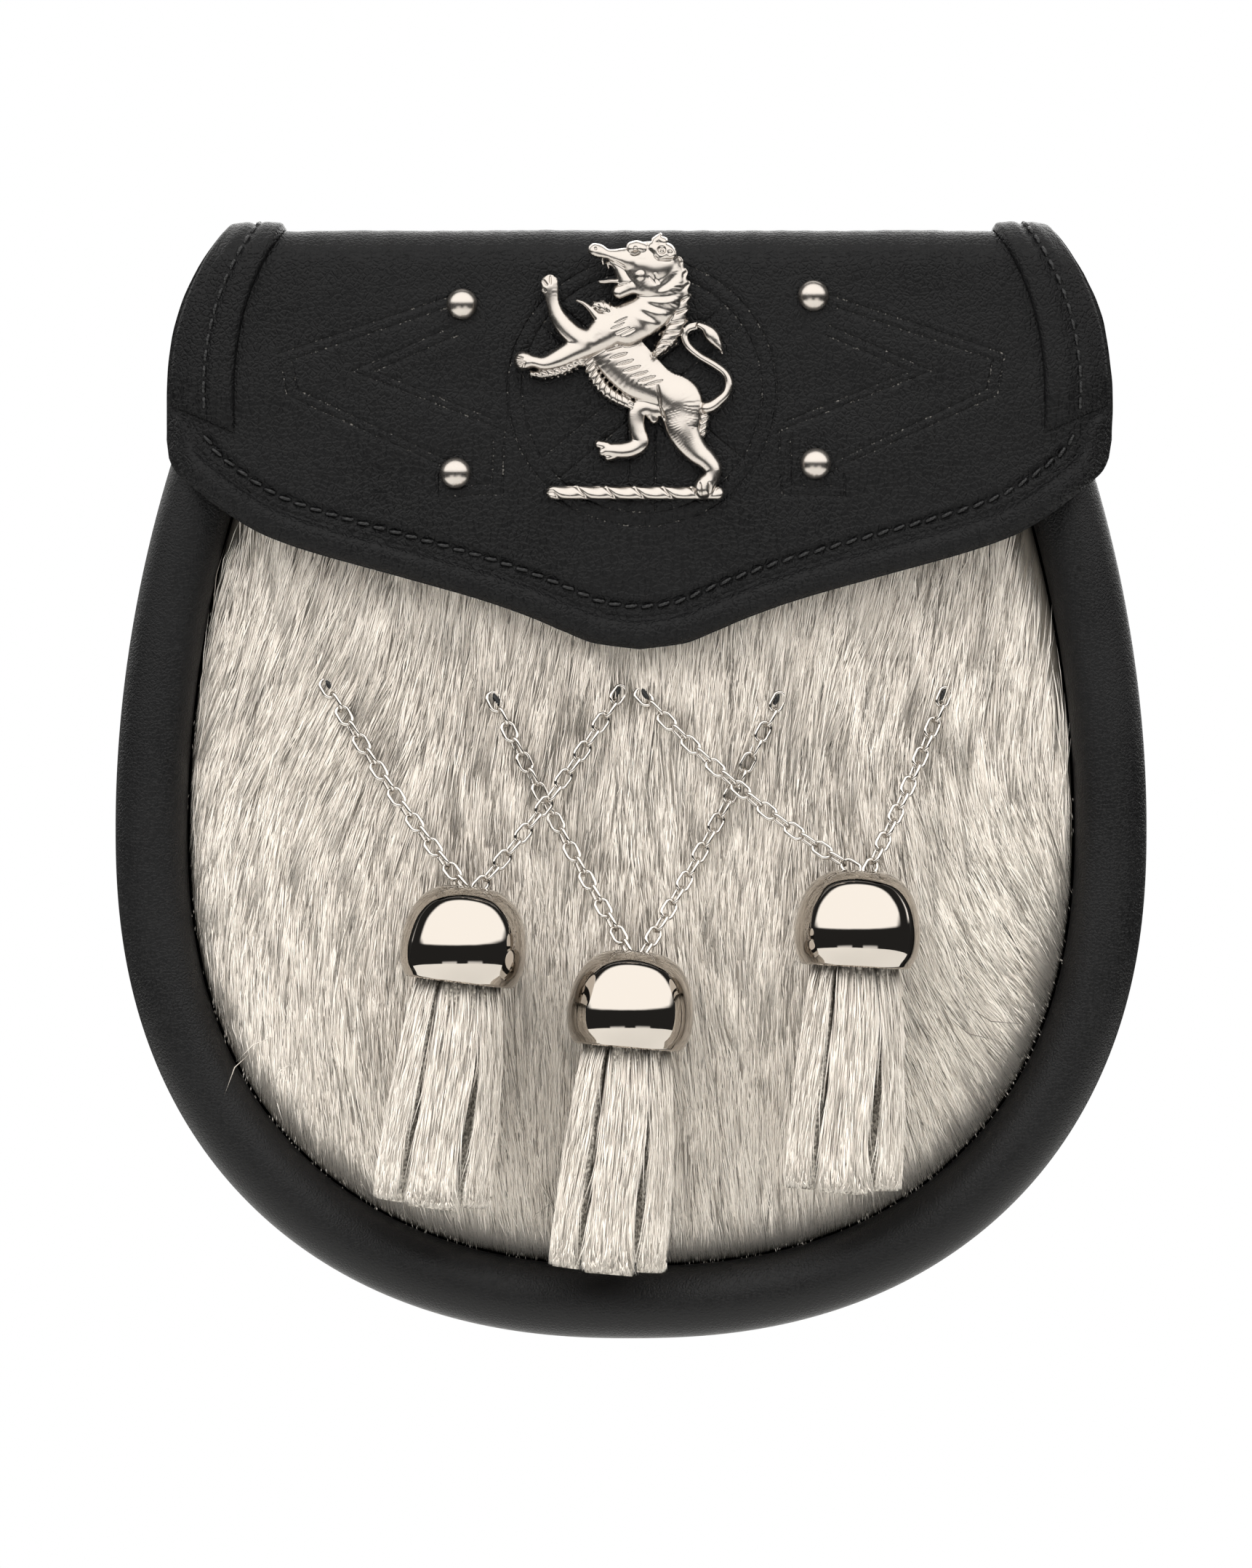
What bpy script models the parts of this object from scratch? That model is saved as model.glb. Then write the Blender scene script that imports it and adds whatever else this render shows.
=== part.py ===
"""A sporran pouch: a deep leather pouch with a hide front, worn hanging from a waist strap.

The strap line is at z = 0, the rear face of the flap's leg at y = 0, and the front faces -Y.
Run it with: blender --background --python part.py
"""

import math

import bmesh
import bpy
import numpy as np
from mathutils import Matrix, Vector

MM = 0.001
PART_NAME = "sporran_pouch"

# Overall sizes: the flap's top and the pouch's bottom are measured from the strap line
TOP = 30.6 * MM
POUCH_BOTTOM = 171.3 * MM
POUCH_WIDTH = 188 * MM
WAIST_DROP = 78.5 * MM
MOUTH = 18 * MM
MOUTH_TAPER = 21.3 * MM
BOTTOM_FULLNESS = 2.28

# Walls and gaps
GAP = 0.3 * MM
BACK_THICKNESS = 2.5 * MM
BACK_INSET = 0.8 * MM
GUSSET_WALL = 2 * MM
GUSSET_REAR_INSET = 1.5 * MM
RIM_WIDTH = 13.2 * MM
POUCH_DEPTH = 36.6 * MM
FLAP_THICKNESS = 2.2 * MM
BAND_THICKNESS = 1.2 * MM

# Hide front: the crown rises between the rims, the locks ripple on it
PANEL_THICKNESS = 3 * MM
PANEL_GAP = 0.4 * MM
PANEL_CROWN = 5.5 * MM
PANEL_EDGE_SETBACK = 6.9 * MM
LOCK_HEIGHT = 0.5 * MM
LOCK_SPACING = 15 * MM
LOCK_WAVE = 46 * MM

# Flap
FLAP_WIDTH = 172 * MM
FLAP_TOP_WIDTH = 151 * MM
FLAP_SHIFT = 1.5 * MM
FLAP_WIDEST_DROP = 1.7 * MM
FLAP_LENGTH = 76.4 * MM
FLAP_LEG = 28 * MM
FLAP_CORNER = 8 * MM
FLAP_CLEARANCE = 0.5 * MM
FLAP_BULGE = 1.8 * MM
FLAP_SIDE_CURL = 4 * MM
FLAP_SIDE_CURL_WIDTH = 12 * MM
BEAD_WIDTH = 5.2 * MM
BEAD_HEIGHT = 1.8 * MM
BAND_WIDTH = 11.6 * MM
BAND_EDGE = 0.9 * MM
BAND_BEAD_GAP = 0.9 * MM
BAND_FOOT_SLANT = 5 * MM

# Fastener, studs and badge on the flap
SNAP_RADIUS = 6 * MM
SNAP_DROP = 20 * MM
STUD_RADIUS = 2.85 * MM
STUD_HEIGHT = 2.2 * MM
BADGE_HEIGHT = 48.5 * MM
BADGE_FOOT_DROP = 18.9 * MM
BADGE_CENTRE = -1.3 * MM
BADGE_PLATE = 1.0 * MM
BADGE_RELIEF = 0.6

# Chains, caps and tassels
CHAIN_WIDTH = 2.4 * MM
CHAIN_SPREAD = 1.7 * MM
CAP_RADIUS = 11.45 * MM
CAP_HEIGHT = 17.4 * MM
CAP_WALL = 0.8 * MM
CAP_HOLE_RADIUS = 3.4 * MM
TASSEL_LENGTH = 41 * MM
STRIP_WIDTH = 6.4 * MM
STRIP_THICKNESS = 2.2 * MM
STRIP_TOP_RADIUS = 5.2 * MM
STRIP_SPLAY = 3.2 * MM
HEAD_RADIUS = 6.8 * MM

# Strap loops on the back
LOOP_OFFSET = FLAP_TOP_WIDTH / 2 - 23.5 * MM
LOOP_WIDTH = 20 * MM
LOOP_WALL = 2 * MM
STRAP_SLOT_HEIGHT = 26 * MM
STRAP_SLOT_DEPTH = 5 * MM
LOOP_TAB = 8 * MM

# How many sections each surface is worked out on
OUTLINE_STEPS = 41
ROLL_STEPS = 6
FLAP_COLUMNS = 25
TURNED_STEPS = 12

# The flap's lower edge: angle across (the sine is the share of half the width), share of its length
FLAP_EDGE = (
    # angle, length
    (0.0, 1.000),
    (5.3, 0.986),
    (9.4, 0.956),
    (12.4, 0.931),
    (19.0, 0.886),
    (30.0, 0.830),
    (52.2, 0.730),
    (56.8, 0.702),
    (65.1, 0.647),
    (72.4, 0.604),
    (79.4, 0.571),
    (90.0, 0.501),
)

# The bell cap's outside: share of its radius, share of its height from the top
CAP_PROFILE = (
    # radius, drop
    (0.52, 0.04),
    (0.75, 0.15),
    (0.91, 0.33),
    (0.99, 0.55),
    (1.00, 0.72),
    (0.96, 0.87),
    (0.86, 1.00),
)

# A tassel's strips: angle round the head, share of the full length, share of the splay
STRIPS = (
    # angle, length, splay
    (-88, 1.00, 1.00),
    (-28, 0.98, 1.10),
    (34, 0.95, 0.95),
    (92, 0.97, 0.80),
    (150, 0.96, 0.95),
    (212, 0.99, 1.15),
)

# The tassels: name, cap's middle across and down from the strap line, lean in degrees
TASSELS = (
    # name, across, drop, lean
    ("left", -30.1 * MM, 97.5 * MM, 7.0),
    ("centre", 0.1 * MM, 109.2 * MM, 5.0),
    ("right", 41.1 * MM, 94.6 * MM, 3.0),
)

# The chains: hole across and down, tassel, side of its cap, sag, how late the chain leaves the hide
CHAINS = (
    # across, drop, tassel, side, sag, late
    (-55.2 * MM, 52.8 * MM, "left", -1, 1.6 * MM, 1.3),
    (-24.8 * MM, 55.3 * MM, "centre", -1, 1.2 * MM, 2.2),
    (-2.3 * MM, 54.0 * MM, "left", 1, 1.6 * MM, 0.9),
    (2.3 * MM, 54.4 * MM, "right", -1, 2.4 * MM, 0.9),
    (26.7 * MM, 55.3 * MM, "centre", 1, 1.2 * MM, 2.2),
    (57.0 * MM, 54.4 * MM, "right", 1, 1.2 * MM, 1.3),
)

# The studs: name, across and up from the strap line
STUDS = (
    # name, across, up
    ("upper_left", -30.7 * MM, 16.9 * MM),
    ("upper_right", 33.1 * MM, 18.4 * MM),
    ("lower_left", -31.9 * MM, -13.8 * MM),
    ("lower_right", 33.5 * MM, -12.1 * MM),
)

# The lion, as limbs drawn along their middle lines: across, up and half width, in hundredths of its height
LION = {
    "torso": ((-3.8, 59.9, 7.0), (-0.4, 55.3, 8.5), (5.0, 48.9, 8.5), (11.8, 42.4, 7.3), (21.4, 35.1, 7.5)),
    "neck": ((-0.4, 60.7, 7.3), (7.3, 64.9, 8.2), (13.4, 69.8, 8.8), (16.0, 76.0, 7.8), (13.4, 88.0, 6.5)),
    "muzzle": ((-10.2, 93.1, 2.5), (-6.1, 91.2, 1.9), (-1.1, 90.1, 3.4), (4.6, 90.1, 5.5), (10.3, 89.3, 7.0)),
    "ear": ((13.4, 91.2, 3.1), (13.5, 95.4, 2.0), (13.5, 99.2, 0.6)),
    "jaw": ((7.3, 80.5, 4.2), (1.5, 79.8, 3.1), (-2.1, 77.3, 2.1)),
    "tongue": ((0.5, 81.3, 1.1), (-5.0, 81.5, 0.9), (-8.9, 81.9, 0.7)),
    "high_foreleg": (
        (-27.5, 80.2, 3.5), (-27.1, 75.2, 2.4), (-25.2, 69.1, 2.7), (-21.8, 64.1, 2.8), (-16.8, 61.5, 3.1),
        (-7.0, 58.2, 3.6),
    ),
    "low_foreleg": (
        (-37.4, 52.7, 3.2), (-32.1, 50.5, 2.1), (-26.3, 50.4, 2.9), (-21.0, 52.3, 3.7), (-15.6, 55.7, 4.3),
        (-6.8, 59.6, 5.3),
    ),
    "chest_spur": ((-17.3, 74.4, 0.6), (-14.1, 72.1, 1.0), (-10.3, 69.5, 2.0), (-5.0, 69.2, 2.4), (3.0, 68.0, 2.6)),
    "belly_fringe": ((-13.0, 55.0, 1.7), (-11.1, 46.2, 1.9), (-4.0, 40.6, 2.0), (4.3, 37.9, 1.9)),
    "raised_leg": (
        (14.9, 36.6, 5.7), (7.6, 34.4, 3.7), (4.7, 30.5, 3.2), (5.0, 25.6, 3.0), (3.9, 21.1, 3.5),
        (-0.8, 17.9, 3.2), (-5.0, 17.9, 2.6), (-8.6, 20.6, 2.1),
    ),
    "standing_leg": (
        (21.4, 33.6, 7.2), (21.9, 26.3, 6.1), (25.2, 21.0, 4.7), (29.5, 17.6, 3.6), (32.6, 14.1, 3.7),
        (33.1, 9.9, 3.5), (30.8, 5.7, 3.7), (30.9, 2.6, 3.2),
    ),
    "tail": (
        (26.0, 33.4, 2.8), (30.5, 34.4, 2.5), (35.5, 35.9, 2.1), (38.9, 39.3, 1.8), (39.5, 43.9, 1.7),
        (36.3, 49.2, 1.5), (30.9, 53.1, 1.5), (25.6, 56.9, 1.4), (22.7, 60.7, 1.3), (23.7, 63.9, 1.2),
        (27.3, 65.1, 1.2), (30.8, 63.0, 2.4), (33.6, 59.4, 1.9), (36.8, 54.9, 0.6),
    ),
    "mane": ((20.6, 88.0, 1.9), (23.0, 80.5, 2.2), (23.4, 73.7, 2.4), (21.3, 66.6, 2.8), (15.0, 58.8, 3.0)),
    "wreath_bar": ((-25.6, 2.9, 2.4), (5.0, 2.9, 2.4), (34.6, 2.9, 2.4)),
}
LION_SECTION = ((-1.0, 0.0), (-0.92, 0.62), (-0.45, 0.95), (0.45, 0.95), (0.92, 0.62), (1.0, 0.0))

LEATHER = ((0.008, 0.008, 0.009), 0.42, 0.0)
HIDE = ((0.56, 0.52, 0.47), 0.75, 0.0)
NICKEL = ((0.80, 0.79, 0.77), 0.12, 1.0)


def clear_scene():
    """Removes every object, so that the part is built in an empty scene."""
    for thing in list(bpy.data.objects):
        bpy.data.objects.remove(thing, do_unlink=True)


def new_collection(name):
    collection = bpy.data.collections.new(name)
    bpy.context.scene.collection.children.link(collection)
    return collection


def new_material(name, look):
    colour, roughness, metallic = look
    material = bpy.data.materials.new(name)
    material.use_nodes = True
    shader = material.node_tree.nodes["Principled BSDF"]
    shader.inputs["Base Color"].default_value = (*colour, 1.0)
    shader.inputs["Roughness"].default_value = roughness
    shader.inputs["Metallic"].default_value = metallic
    return material


def smooth_table(places, values, at):
    """Reads a table between its rows along a smooth curve that never overshoots a row."""
    places = np.asarray(places, float)
    values = np.asarray(values, float)
    step = np.diff(places)
    slope = np.diff(values) / step
    before, after = slope[:-1], slope[1:]
    same_way = before * after > 0
    mean = np.where(same_way, 2 * before * after / np.where(same_way, before + after, 1), 0)
    tangent = np.concatenate(([slope[0]], mean, [slope[-1]]))
    at = np.clip(at, places[0], places[-1])
    row = np.clip(np.searchsorted(places, at, side="right") - 1, 0, len(step) - 1)
    t = (at - places[row]) / step[row]
    rise = step[row] * (tangent[row] * (t**3 - 2 * t**2 + t) + tangent[row + 1] * (t**3 - t**2))
    return values[row] * (2 * t**3 - 3 * t**2 + 1) + values[row + 1] * (3 * t**2 - 2 * t**3) + rise


def evenly_spaced(points, count):
    """Count points at even distances along a path."""
    along = np.concatenate(([0], np.cumsum(np.linalg.norm(np.diff(points, axis=0), axis=1))))
    wanted = np.linspace(0, along[-1], count)
    return np.stack([np.interp(wanted, along, column) for column in points.T], axis=1)


def pouch_outline(count, inset=0.0):
    """The pouch's outline as (across, up) from mouth to mouth round the bottom, moved in by inset.

    Above its widest level the side leans in as a parabola, and below it is a full ellipse.
    """
    half = POUCH_WIDTH / 2
    up = np.linspace(MOUTH, -WAIST_DROP, 80)
    share = (up + WAIST_DROP) / (MOUTH + WAIST_DROP)
    side = np.stack([half - MOUTH_TAPER * share**2, up], axis=1)
    turn = np.linspace(0, math.pi, 240)[1:-1]
    power = 2 / BOTTOM_FULLNESS
    across = half * np.sign(np.cos(turn)) * np.abs(np.cos(turn)) ** power
    down = -WAIST_DROP - (POUCH_BOTTOM - WAIST_DROP) * np.sin(turn) ** power
    left = side * (-1, 1)
    path = np.concatenate((left, np.stack([-across, down], axis=1), side[::-1]))
    path = evenly_spaced(path, 1200)
    along = np.gradient(path, axis=0)
    along /= np.linalg.norm(along, axis=1)[:, None]
    inward = np.stack([-along[:, 1], along[:, 0]], axis=1)
    moved = path + inward * inset
    moved[0, 1] = moved[-1, 1] = MOUTH
    return evenly_spaced(moved, count)


def panel_outline(sides, top):
    """The hide front's edge, closed along its straight top."""
    path = pouch_outline(sides, RIM_WIDTH + PANEL_GAP)
    across = np.linspace(path[-1, 0], path[0, 0], top + 2)[1:-1]
    return np.concatenate((path, np.stack([across, np.full(top, MOUTH)], axis=1)))


def panel_middle():
    return np.array([0.0, (MOUTH - POUCH_BOTTOM) / 2])


def panel_share(points):
    """How far each point lies from the panel's middle towards its edge, from 0 to 1."""
    edge = panel_outline(160, 40) - panel_middle()
    angle = np.arctan2(edge[:, 1], edge[:, 0])
    order = np.argsort(angle)
    reach = np.linalg.norm(edge, axis=1)
    offset = points - panel_middle()
    at = np.arctan2(offset[..., 1], offset[..., 0])
    limit = np.interp(at, angle[order], reach[order], period=2 * math.pi)
    return np.clip(np.linalg.norm(offset, axis=-1) / limit, 0, 1)


def hide_base(points):
    """The y of the smooth hide front: a crown that falls to the rims."""
    share = panel_share(points)
    edge = POUCH_DEPTH - PANEL_EDGE_SETBACK
    return -(edge + PANEL_CROWN * (1 - share**2.2))


def hide_front(points):
    """The y of the hide front with its locks, which fade out at the edge."""
    across = points[..., 0] / LOCK_SPACING
    down = points[..., 1] / LOCK_WAVE
    ripple = np.sin(2 * math.pi * (across + 0.35 * np.sin(2 * math.pi * down)))
    fade = 1 - panel_share(points) ** 6
    return hide_base(points) - LOCK_HEIGHT * ripple * fade


def flap_half_width(up):
    """Half the flap's width at a height: widest a little under the strap line, narrower over the top."""
    above = np.clip(up + FLAP_WIDEST_DROP, 0, None) / (TOP + FLAP_WIDEST_DROP)
    return FLAP_WIDTH / 2 - (FLAP_WIDTH - FLAP_TOP_WIDTH) / 2 * above**2.5


def flap_edge(angle):
    """The height of the flap's lower edge at an angle across, whose sine is the share of its half width."""
    degrees = np.abs(np.degrees(angle))
    angles = [row[0] for row in FLAP_EDGE]
    lengths = [row[1] for row in FLAP_EDGE]
    return TOP - FLAP_LENGTH * smooth_table(angles, lengths, degrees)


def flap_front(up):
    """The y of the flap's outer face below its front corner: it swells a little in the middle."""
    middle = (TOP - FLAP_CORNER + TOP - FLAP_LENGTH) / 2
    reach = (FLAP_LENGTH - FLAP_CORNER) / 2
    swell = np.clip(1 - ((up - middle) / reach) ** 2, 0, 1)
    return -(POUCH_DEPTH + FLAP_CLEARANCE + FLAP_THICKNESS + FLAP_BULGE * swell)


def flap_surface(angles, front_up, corner_steps, lift=0.0):
    """The flap's outer face as a grid: up the rear leg, over the top and down the front.

    Columns run across at the given angles, and front_up holds the heights of the front rows.
    """
    columns = len(angles)
    turn = np.radians(np.linspace(0, 90, corner_steps))
    rear_up = np.array([-FLAP_LEG, (TOP - FLAP_CORNER - FLAP_LEG) / 2])
    rear = [(0.0 * rear_up, rear_up)]
    rear.append((-FLAP_CORNER * (1 - np.cos(turn)), TOP - FLAP_CORNER * (1 - np.sin(turn))))
    top_front = flap_front(TOP - FLAP_CORNER)
    front_corner = (top_front + FLAP_CORNER * (1 - np.sin(turn)), TOP - FLAP_CORNER * (1 - np.cos(turn)))
    rear.append(front_corner)
    depth = np.concatenate([part[0] for part in rear])
    up = np.concatenate([part[1] for part in rear])
    depth = np.repeat(depth[:, None], columns, axis=1)
    up = np.repeat(up[:, None], columns, axis=1)
    depth = np.concatenate((depth, flap_front(front_up)))
    up = np.concatenate((up, front_up))
    half = flap_half_width(up)
    rear_rows = len(rear_up) + corner_steps
    half[:rear_rows] = FLAP_TOP_WIDTH / 2
    across = half * np.sin(angles)
    from_edge = np.clip((np.abs(across) - (half - FLAP_SIDE_CURL_WIDTH)) / FLAP_SIDE_CURL_WIDTH, 0, 1)
    share = np.clip(-depth / -top_front, 0, 1)
    depth = depth + FLAP_SIDE_CURL * from_edge**2 * share
    grid = np.stack([across + FLAP_SHIFT, depth, up], axis=-1)
    normal = np.cross(directions(grid, 0), directions(grid, 1))
    normal /= np.linalg.norm(normal, axis=-1)[..., None]
    return grid + normal * lift, normal


def directions(grid, axis):
    """The direction along one axis of a grid, halfway between the steps before and after each point."""
    step = np.diff(grid, axis=axis)
    step /= np.linalg.norm(step, axis=-1)[..., None]
    first = np.take(step, [0], axis=axis)
    last = np.take(step, [-1], axis=axis)
    return np.concatenate((first, step), axis=axis) + np.concatenate((step, last), axis=axis)


def band_angles(side):
    """The flap's columns under one side band, from the flap's end inwards."""
    insets = np.array([BAND_EDGE, BAND_EDGE + BAND_WIDTH / 2, BAND_EDGE + BAND_WIDTH])
    return side * np.arcsin(1 - insets / (FLAP_WIDTH / 2))


def flap_angles():
    """The flap's columns: those of its ends and side bands, and the field between them."""
    end = math.pi / 2
    left = band_angles(-1)
    field = np.linspace(left[-1], -left[-1], FLAP_COLUMNS)
    return np.concatenate(([-end], left[:-1], field, -left[-2::-1], [end]))


def edge_distance(grid):
    """How far each point of the flap's front lies from its lower edge, seen from the front."""
    angle = np.linspace(-math.pi / 2, math.pi / 2, 181)
    edge_up = flap_edge(angle)
    edge = np.stack([FLAP_SHIFT + flap_half_width(edge_up) * np.sin(angle), edge_up], axis=-1)
    point = grid[..., (0, 2)]
    return np.linalg.norm(point[..., None, :] - edge, axis=-1).min(axis=-1)


def add_object(name, vertices, faces, collection, material):
    """Makes a closed mesh object with its faces pointing out."""
    mesh = bpy.data.meshes.new(name)
    mesh.from_pydata([tuple(map(float, vertex)) for vertex in vertices], [], faces)
    work = bmesh.new()
    work.from_mesh(mesh)
    bmesh.ops.recalc_face_normals(work, faces=work.faces)
    work.to_mesh(mesh)
    work.free()
    mesh.materials.append(material)
    mesh.shade_smooth()
    mesh.set_sharp_from_angle(angle=math.radians(40))
    thing = bpy.data.objects.new(name, mesh)
    collection.objects.link(thing)
    return thing


def grid_faces(rows, columns, start=0, closed=False):
    """Quads over a grid of vertices; closed joins its last column to its first."""
    last = columns if closed else columns - 1
    faces = []
    for row in range(rows - 1):
        for column in range(last):
            after = (column + 1) % columns
            low = start + row * columns
            high = low + columns
            faces.append((low + column, low + after, high + after, high + column))
    return faces


def loft(rings):
    """Vertices and faces of a tube through closed rings, with flat ends."""
    rings = np.asarray(rings)
    count, sides = rings.shape[:2]
    faces = grid_faces(count, sides, closed=True)
    faces.append(tuple(range(sides - 1, -1, -1)))
    faces.append(tuple(range((count - 1) * sides, count * sides)))
    return rings.reshape(-1, 3), faces


def sheet_solid(outer, inner):
    """Vertices and faces of a sheet with thickness, from the grids of its two faces."""
    rows, columns = outer.shape[:2]
    size = rows * columns
    vertices = np.concatenate((outer.reshape(-1, 3), inner.reshape(-1, 3)))
    faces = grid_faces(rows, columns)
    faces += [tuple(reversed(face)) for face in grid_faces(rows, columns, size)]
    border = [column for column in range(columns)]
    border += [row * columns + columns - 1 for row in range(1, rows)]
    border += [(rows - 1) * columns + column for column in range(columns - 2, -1, -1)]
    border += [row * columns for row in range(rows - 2, 0, -1)]
    for here, there in zip(border, border[1:] + border[:1]):
        faces.append((there, here, here + size, there + size))
    return vertices, faces


def join_solids(name, solids, collection, material):
    """Fuses overlapping solids into one body."""
    things = [add_object(f"{name}_{index}", *solid, collection, material) for index, solid in enumerate(solids)]
    body = things[0]
    for other in things[1:]:
        union = body.modifiers.new(other.name, "BOOLEAN")
        union.operation = "UNION"
        union.solver = "EXACT"
        union.object = other
    graph = bpy.context.evaluated_depsgraph_get()
    mesh = bpy.data.meshes.new_from_object(body.evaluated_get(graph))
    for thing in things:
        bpy.data.objects.remove(thing, do_unlink=True)
    fused = bpy.data.objects.new(name, mesh)
    collection.objects.link(fused)
    return fused


def make_back_panel(collection, leather):
    """A flat outline, filled and given its thickness."""
    outline = pouch_outline(OUTLINE_STEPS, BACK_INSET)
    curve = bpy.data.curves.new("back_panel", "CURVE")
    curve.dimensions = "2D"
    curve.fill_mode = "BOTH"
    curve.extrude = BACK_THICKNESS / 2
    spline = curve.splines.new("POLY")
    spline.points.add(len(outline) - 1)
    for point, (across, up) in zip(spline.points, outline):
        point.co = (across, up, 0, 1)
    spline.use_cyclic_u = True
    curve.materials.append(leather)
    panel = bpy.data.objects.new("back_panel", curve)
    panel.rotation_euler = (math.pi / 2, 0, 0)
    panel.location = (0, -(FLAP_THICKNESS + GAP + BACK_THICKNESS / 2), 0)
    collection.objects.link(panel)


def gusset_profile():
    """The gusset's section as (inset, y): the side wall outside, the rolled rim, and back inside."""
    roll = RIM_WIDTH / 2
    middle = POUCH_DEPTH - roll
    back = FLAP_THICKNESS + GAP + BACK_THICKNESS + GAP
    outer = [(GUSSET_REAR_INSET, -back), (0.0, -(back + middle) / 2)]
    for angle in np.radians(np.linspace(180, 0, ROLL_STEPS + 1)):
        outer.append((roll + roll * math.cos(angle), -(middle + roll * math.sin(angle))))
    inside = roll - GUSSET_WALL
    inner = []
    for angle in np.radians(np.linspace(0, 180, ROLL_STEPS - 1)):
        inner.append((roll + inside * math.cos(angle), -(middle + inside * math.sin(angle))))
    inner.append((GUSSET_WALL, -(back + middle) / 2))
    inner.append((GUSSET_REAR_INSET + GUSSET_WALL, -back))
    return outer + inner


def make_gusset(collection, leather):
    """The section carried round the pouch's outline."""
    rings = []
    for inset, depth in gusset_profile():
        path = pouch_outline(OUTLINE_STEPS, inset)
        rings.append(np.stack([path[:, 0], np.full(len(path), depth), path[:, 1]], axis=1))
    rings = np.stack(rings, axis=1)
    add_object("gusset", *loft(rings), collection, leather)


def make_front_panel(collection, hide):
    """Rings of the panel's outline, shrunk to its middle, on a front and a rear face."""
    edge = panel_outline(44, 12)
    middle = panel_middle()
    vertices, faces = [], []
    sides = len(edge)
    front_shares = (1.0, 0.955, 0.86, 0.72, 0.56, 0.38, 0.19)
    rear_shares = (1.0, 0.72, 0.38)
    for shares, front in ((front_shares, True), (rear_shares, False)):
        for share in shares:
            ring = middle + (edge - middle) * share
            depth = hide_front(ring) if front else hide_base(ring) + PANEL_THICKNESS
            vertices.extend(np.stack([ring[:, 0], depth, ring[:, 1]], axis=1))
    rear = len(front_shares) * sides
    faces += grid_faces(len(front_shares), sides, closed=True)
    faces += [tuple(reversed(face)) for face in grid_faces(len(rear_shares), sides, rear, closed=True)]
    faces += [(index, rear + index, rear + (index + 1) % sides, (index + 1) % sides) for index in range(sides)]
    for last, front in ((len(front_shares) - 1, True), (len(front_shares) + len(rear_shares) - 1, False)):
        hub = len(vertices)
        depth = hide_base(middle) + (0 if front else PANEL_THICKNESS)
        vertices.append((middle[0], float(depth), middle[1]))
        for index in range(sides):
            fan = (last * sides + index, last * sides + (index + 1) % sides, hub)
            faces.append(fan if front else tuple(reversed(fan)))
    add_object("front_panel", vertices, faces, collection, hide)


def make_flap(collection, leather):
    """The flap as one sheet, with the rolled bead along its lower edge."""
    angles = flap_angles()
    edge = flap_edge(angles)
    start = TOP - FLAP_CORNER
    bead = BEAD_WIDTH * np.array([1.08, 0.8, 0.45, 0.15, 0.0])
    field = np.array([0.2, 0.4, 0.6, 0.8])
    near = edge[None, :] + bead[:, None]
    front_up = np.concatenate((start + (near[0] - start) * field[:, None], near))
    outer, normal = flap_surface(angles, front_up, 4)
    round_share = np.clip(edge_distance(outer) / BEAD_WIDTH, 0, 1)
    on_front = (outer[..., 1] < -POUCH_DEPTH / 2)[..., None]
    end = np.clip((1 - np.abs(np.sin(angles))) * FLAP_WIDTH / BEAD_WIDTH, 0, 1) ** 0.5
    rise = BEAD_HEIGHT * (np.sqrt(np.clip(1 - (2 * round_share - 1) ** 2, 0, 1)) * end)[..., None] * on_front
    inner = outer - normal * FLAP_THICKNESS
    add_object("flap", *sheet_solid(outer + normal * rise, inner), collection, leather)


def make_side_band(name, side, collection, leather):
    """A leather band over one end of the flap, from the rear leg's foot down to the bead."""
    angles = band_angles(side)
    foot = float(flap_edge(math.pi / 2)) + BEAD_WIDTH + BAND_BEAD_GAP - BAND_FOOT_SLANT * np.array([0.0, 0.5, 1.0])
    if side > 0:
        angles = angles[::-1]
        foot = foot[::-1]
    start = TOP - FLAP_CORNER
    front_up = start + (foot - start) * np.array([0.33, 0.67, 1.0])[:, None]
    low, _ = flap_surface(angles, front_up, 4, GAP)
    high, _ = flap_surface(angles, front_up, 4, GAP + BAND_THICKNESS)
    add_object(name, *sheet_solid(high, low), collection, leather)


def make_snap(collection, nickel):
    """The hidden press fastener, a plain disc between the hide and the flap."""
    levels = -SNAP_DROP + SNAP_RADIUS * np.array([-1.0, 0.0, 1.0])
    across = np.full(3, FLAP_SHIFT)
    front = float(np.max(flap_front(levels))) + FLAP_THICKNESS + GAP
    rear = float(np.min(hide_base(np.stack([across, levels], axis=1)))) - LOCK_HEIGHT - GAP
    work = bmesh.new()
    bmesh.ops.create_cone(
        work, cap_ends=True, segments=TURNED_STEPS, radius1=SNAP_RADIUS, radius2=SNAP_RADIUS, depth=rear - front
    )
    mesh = bpy.data.meshes.new("snap_fastener")
    work.to_mesh(mesh)
    work.free()
    mesh.materials.append(nickel)
    snap = bpy.data.objects.new("snap_fastener", mesh)
    snap.rotation_euler = (math.pi / 2, 0, 0)
    snap.location = (FLAP_SHIFT, (front + rear) / 2, -SNAP_DROP)
    collection.objects.link(snap)


def turned(name, profile, collection, material):
    """A profile of (radius, height) turned round Z; open at the axis where its radius is not 0."""
    mesh = bpy.data.meshes.new(name)
    points = [(radius, 0, height) for radius, height in profile]
    count = len(points)
    edges = [(index, index + 1) for index in range(count - 1)]
    if profile[0][0] > 0:
        edges.append((count - 1, 0))
    mesh.from_pydata(points, edges, [])
    mesh.materials.append(material)
    thing = bpy.data.objects.new(name, mesh)
    screw = thing.modifiers.new("turn", "SCREW")
    screw.angle = 2 * math.pi
    screw.steps = TURNED_STEPS
    screw.render_steps = TURNED_STEPS
    screw.use_merge_vertices = True
    screw.merge_threshold = 0.00001
    collection.objects.link(thing)
    return thing


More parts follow.
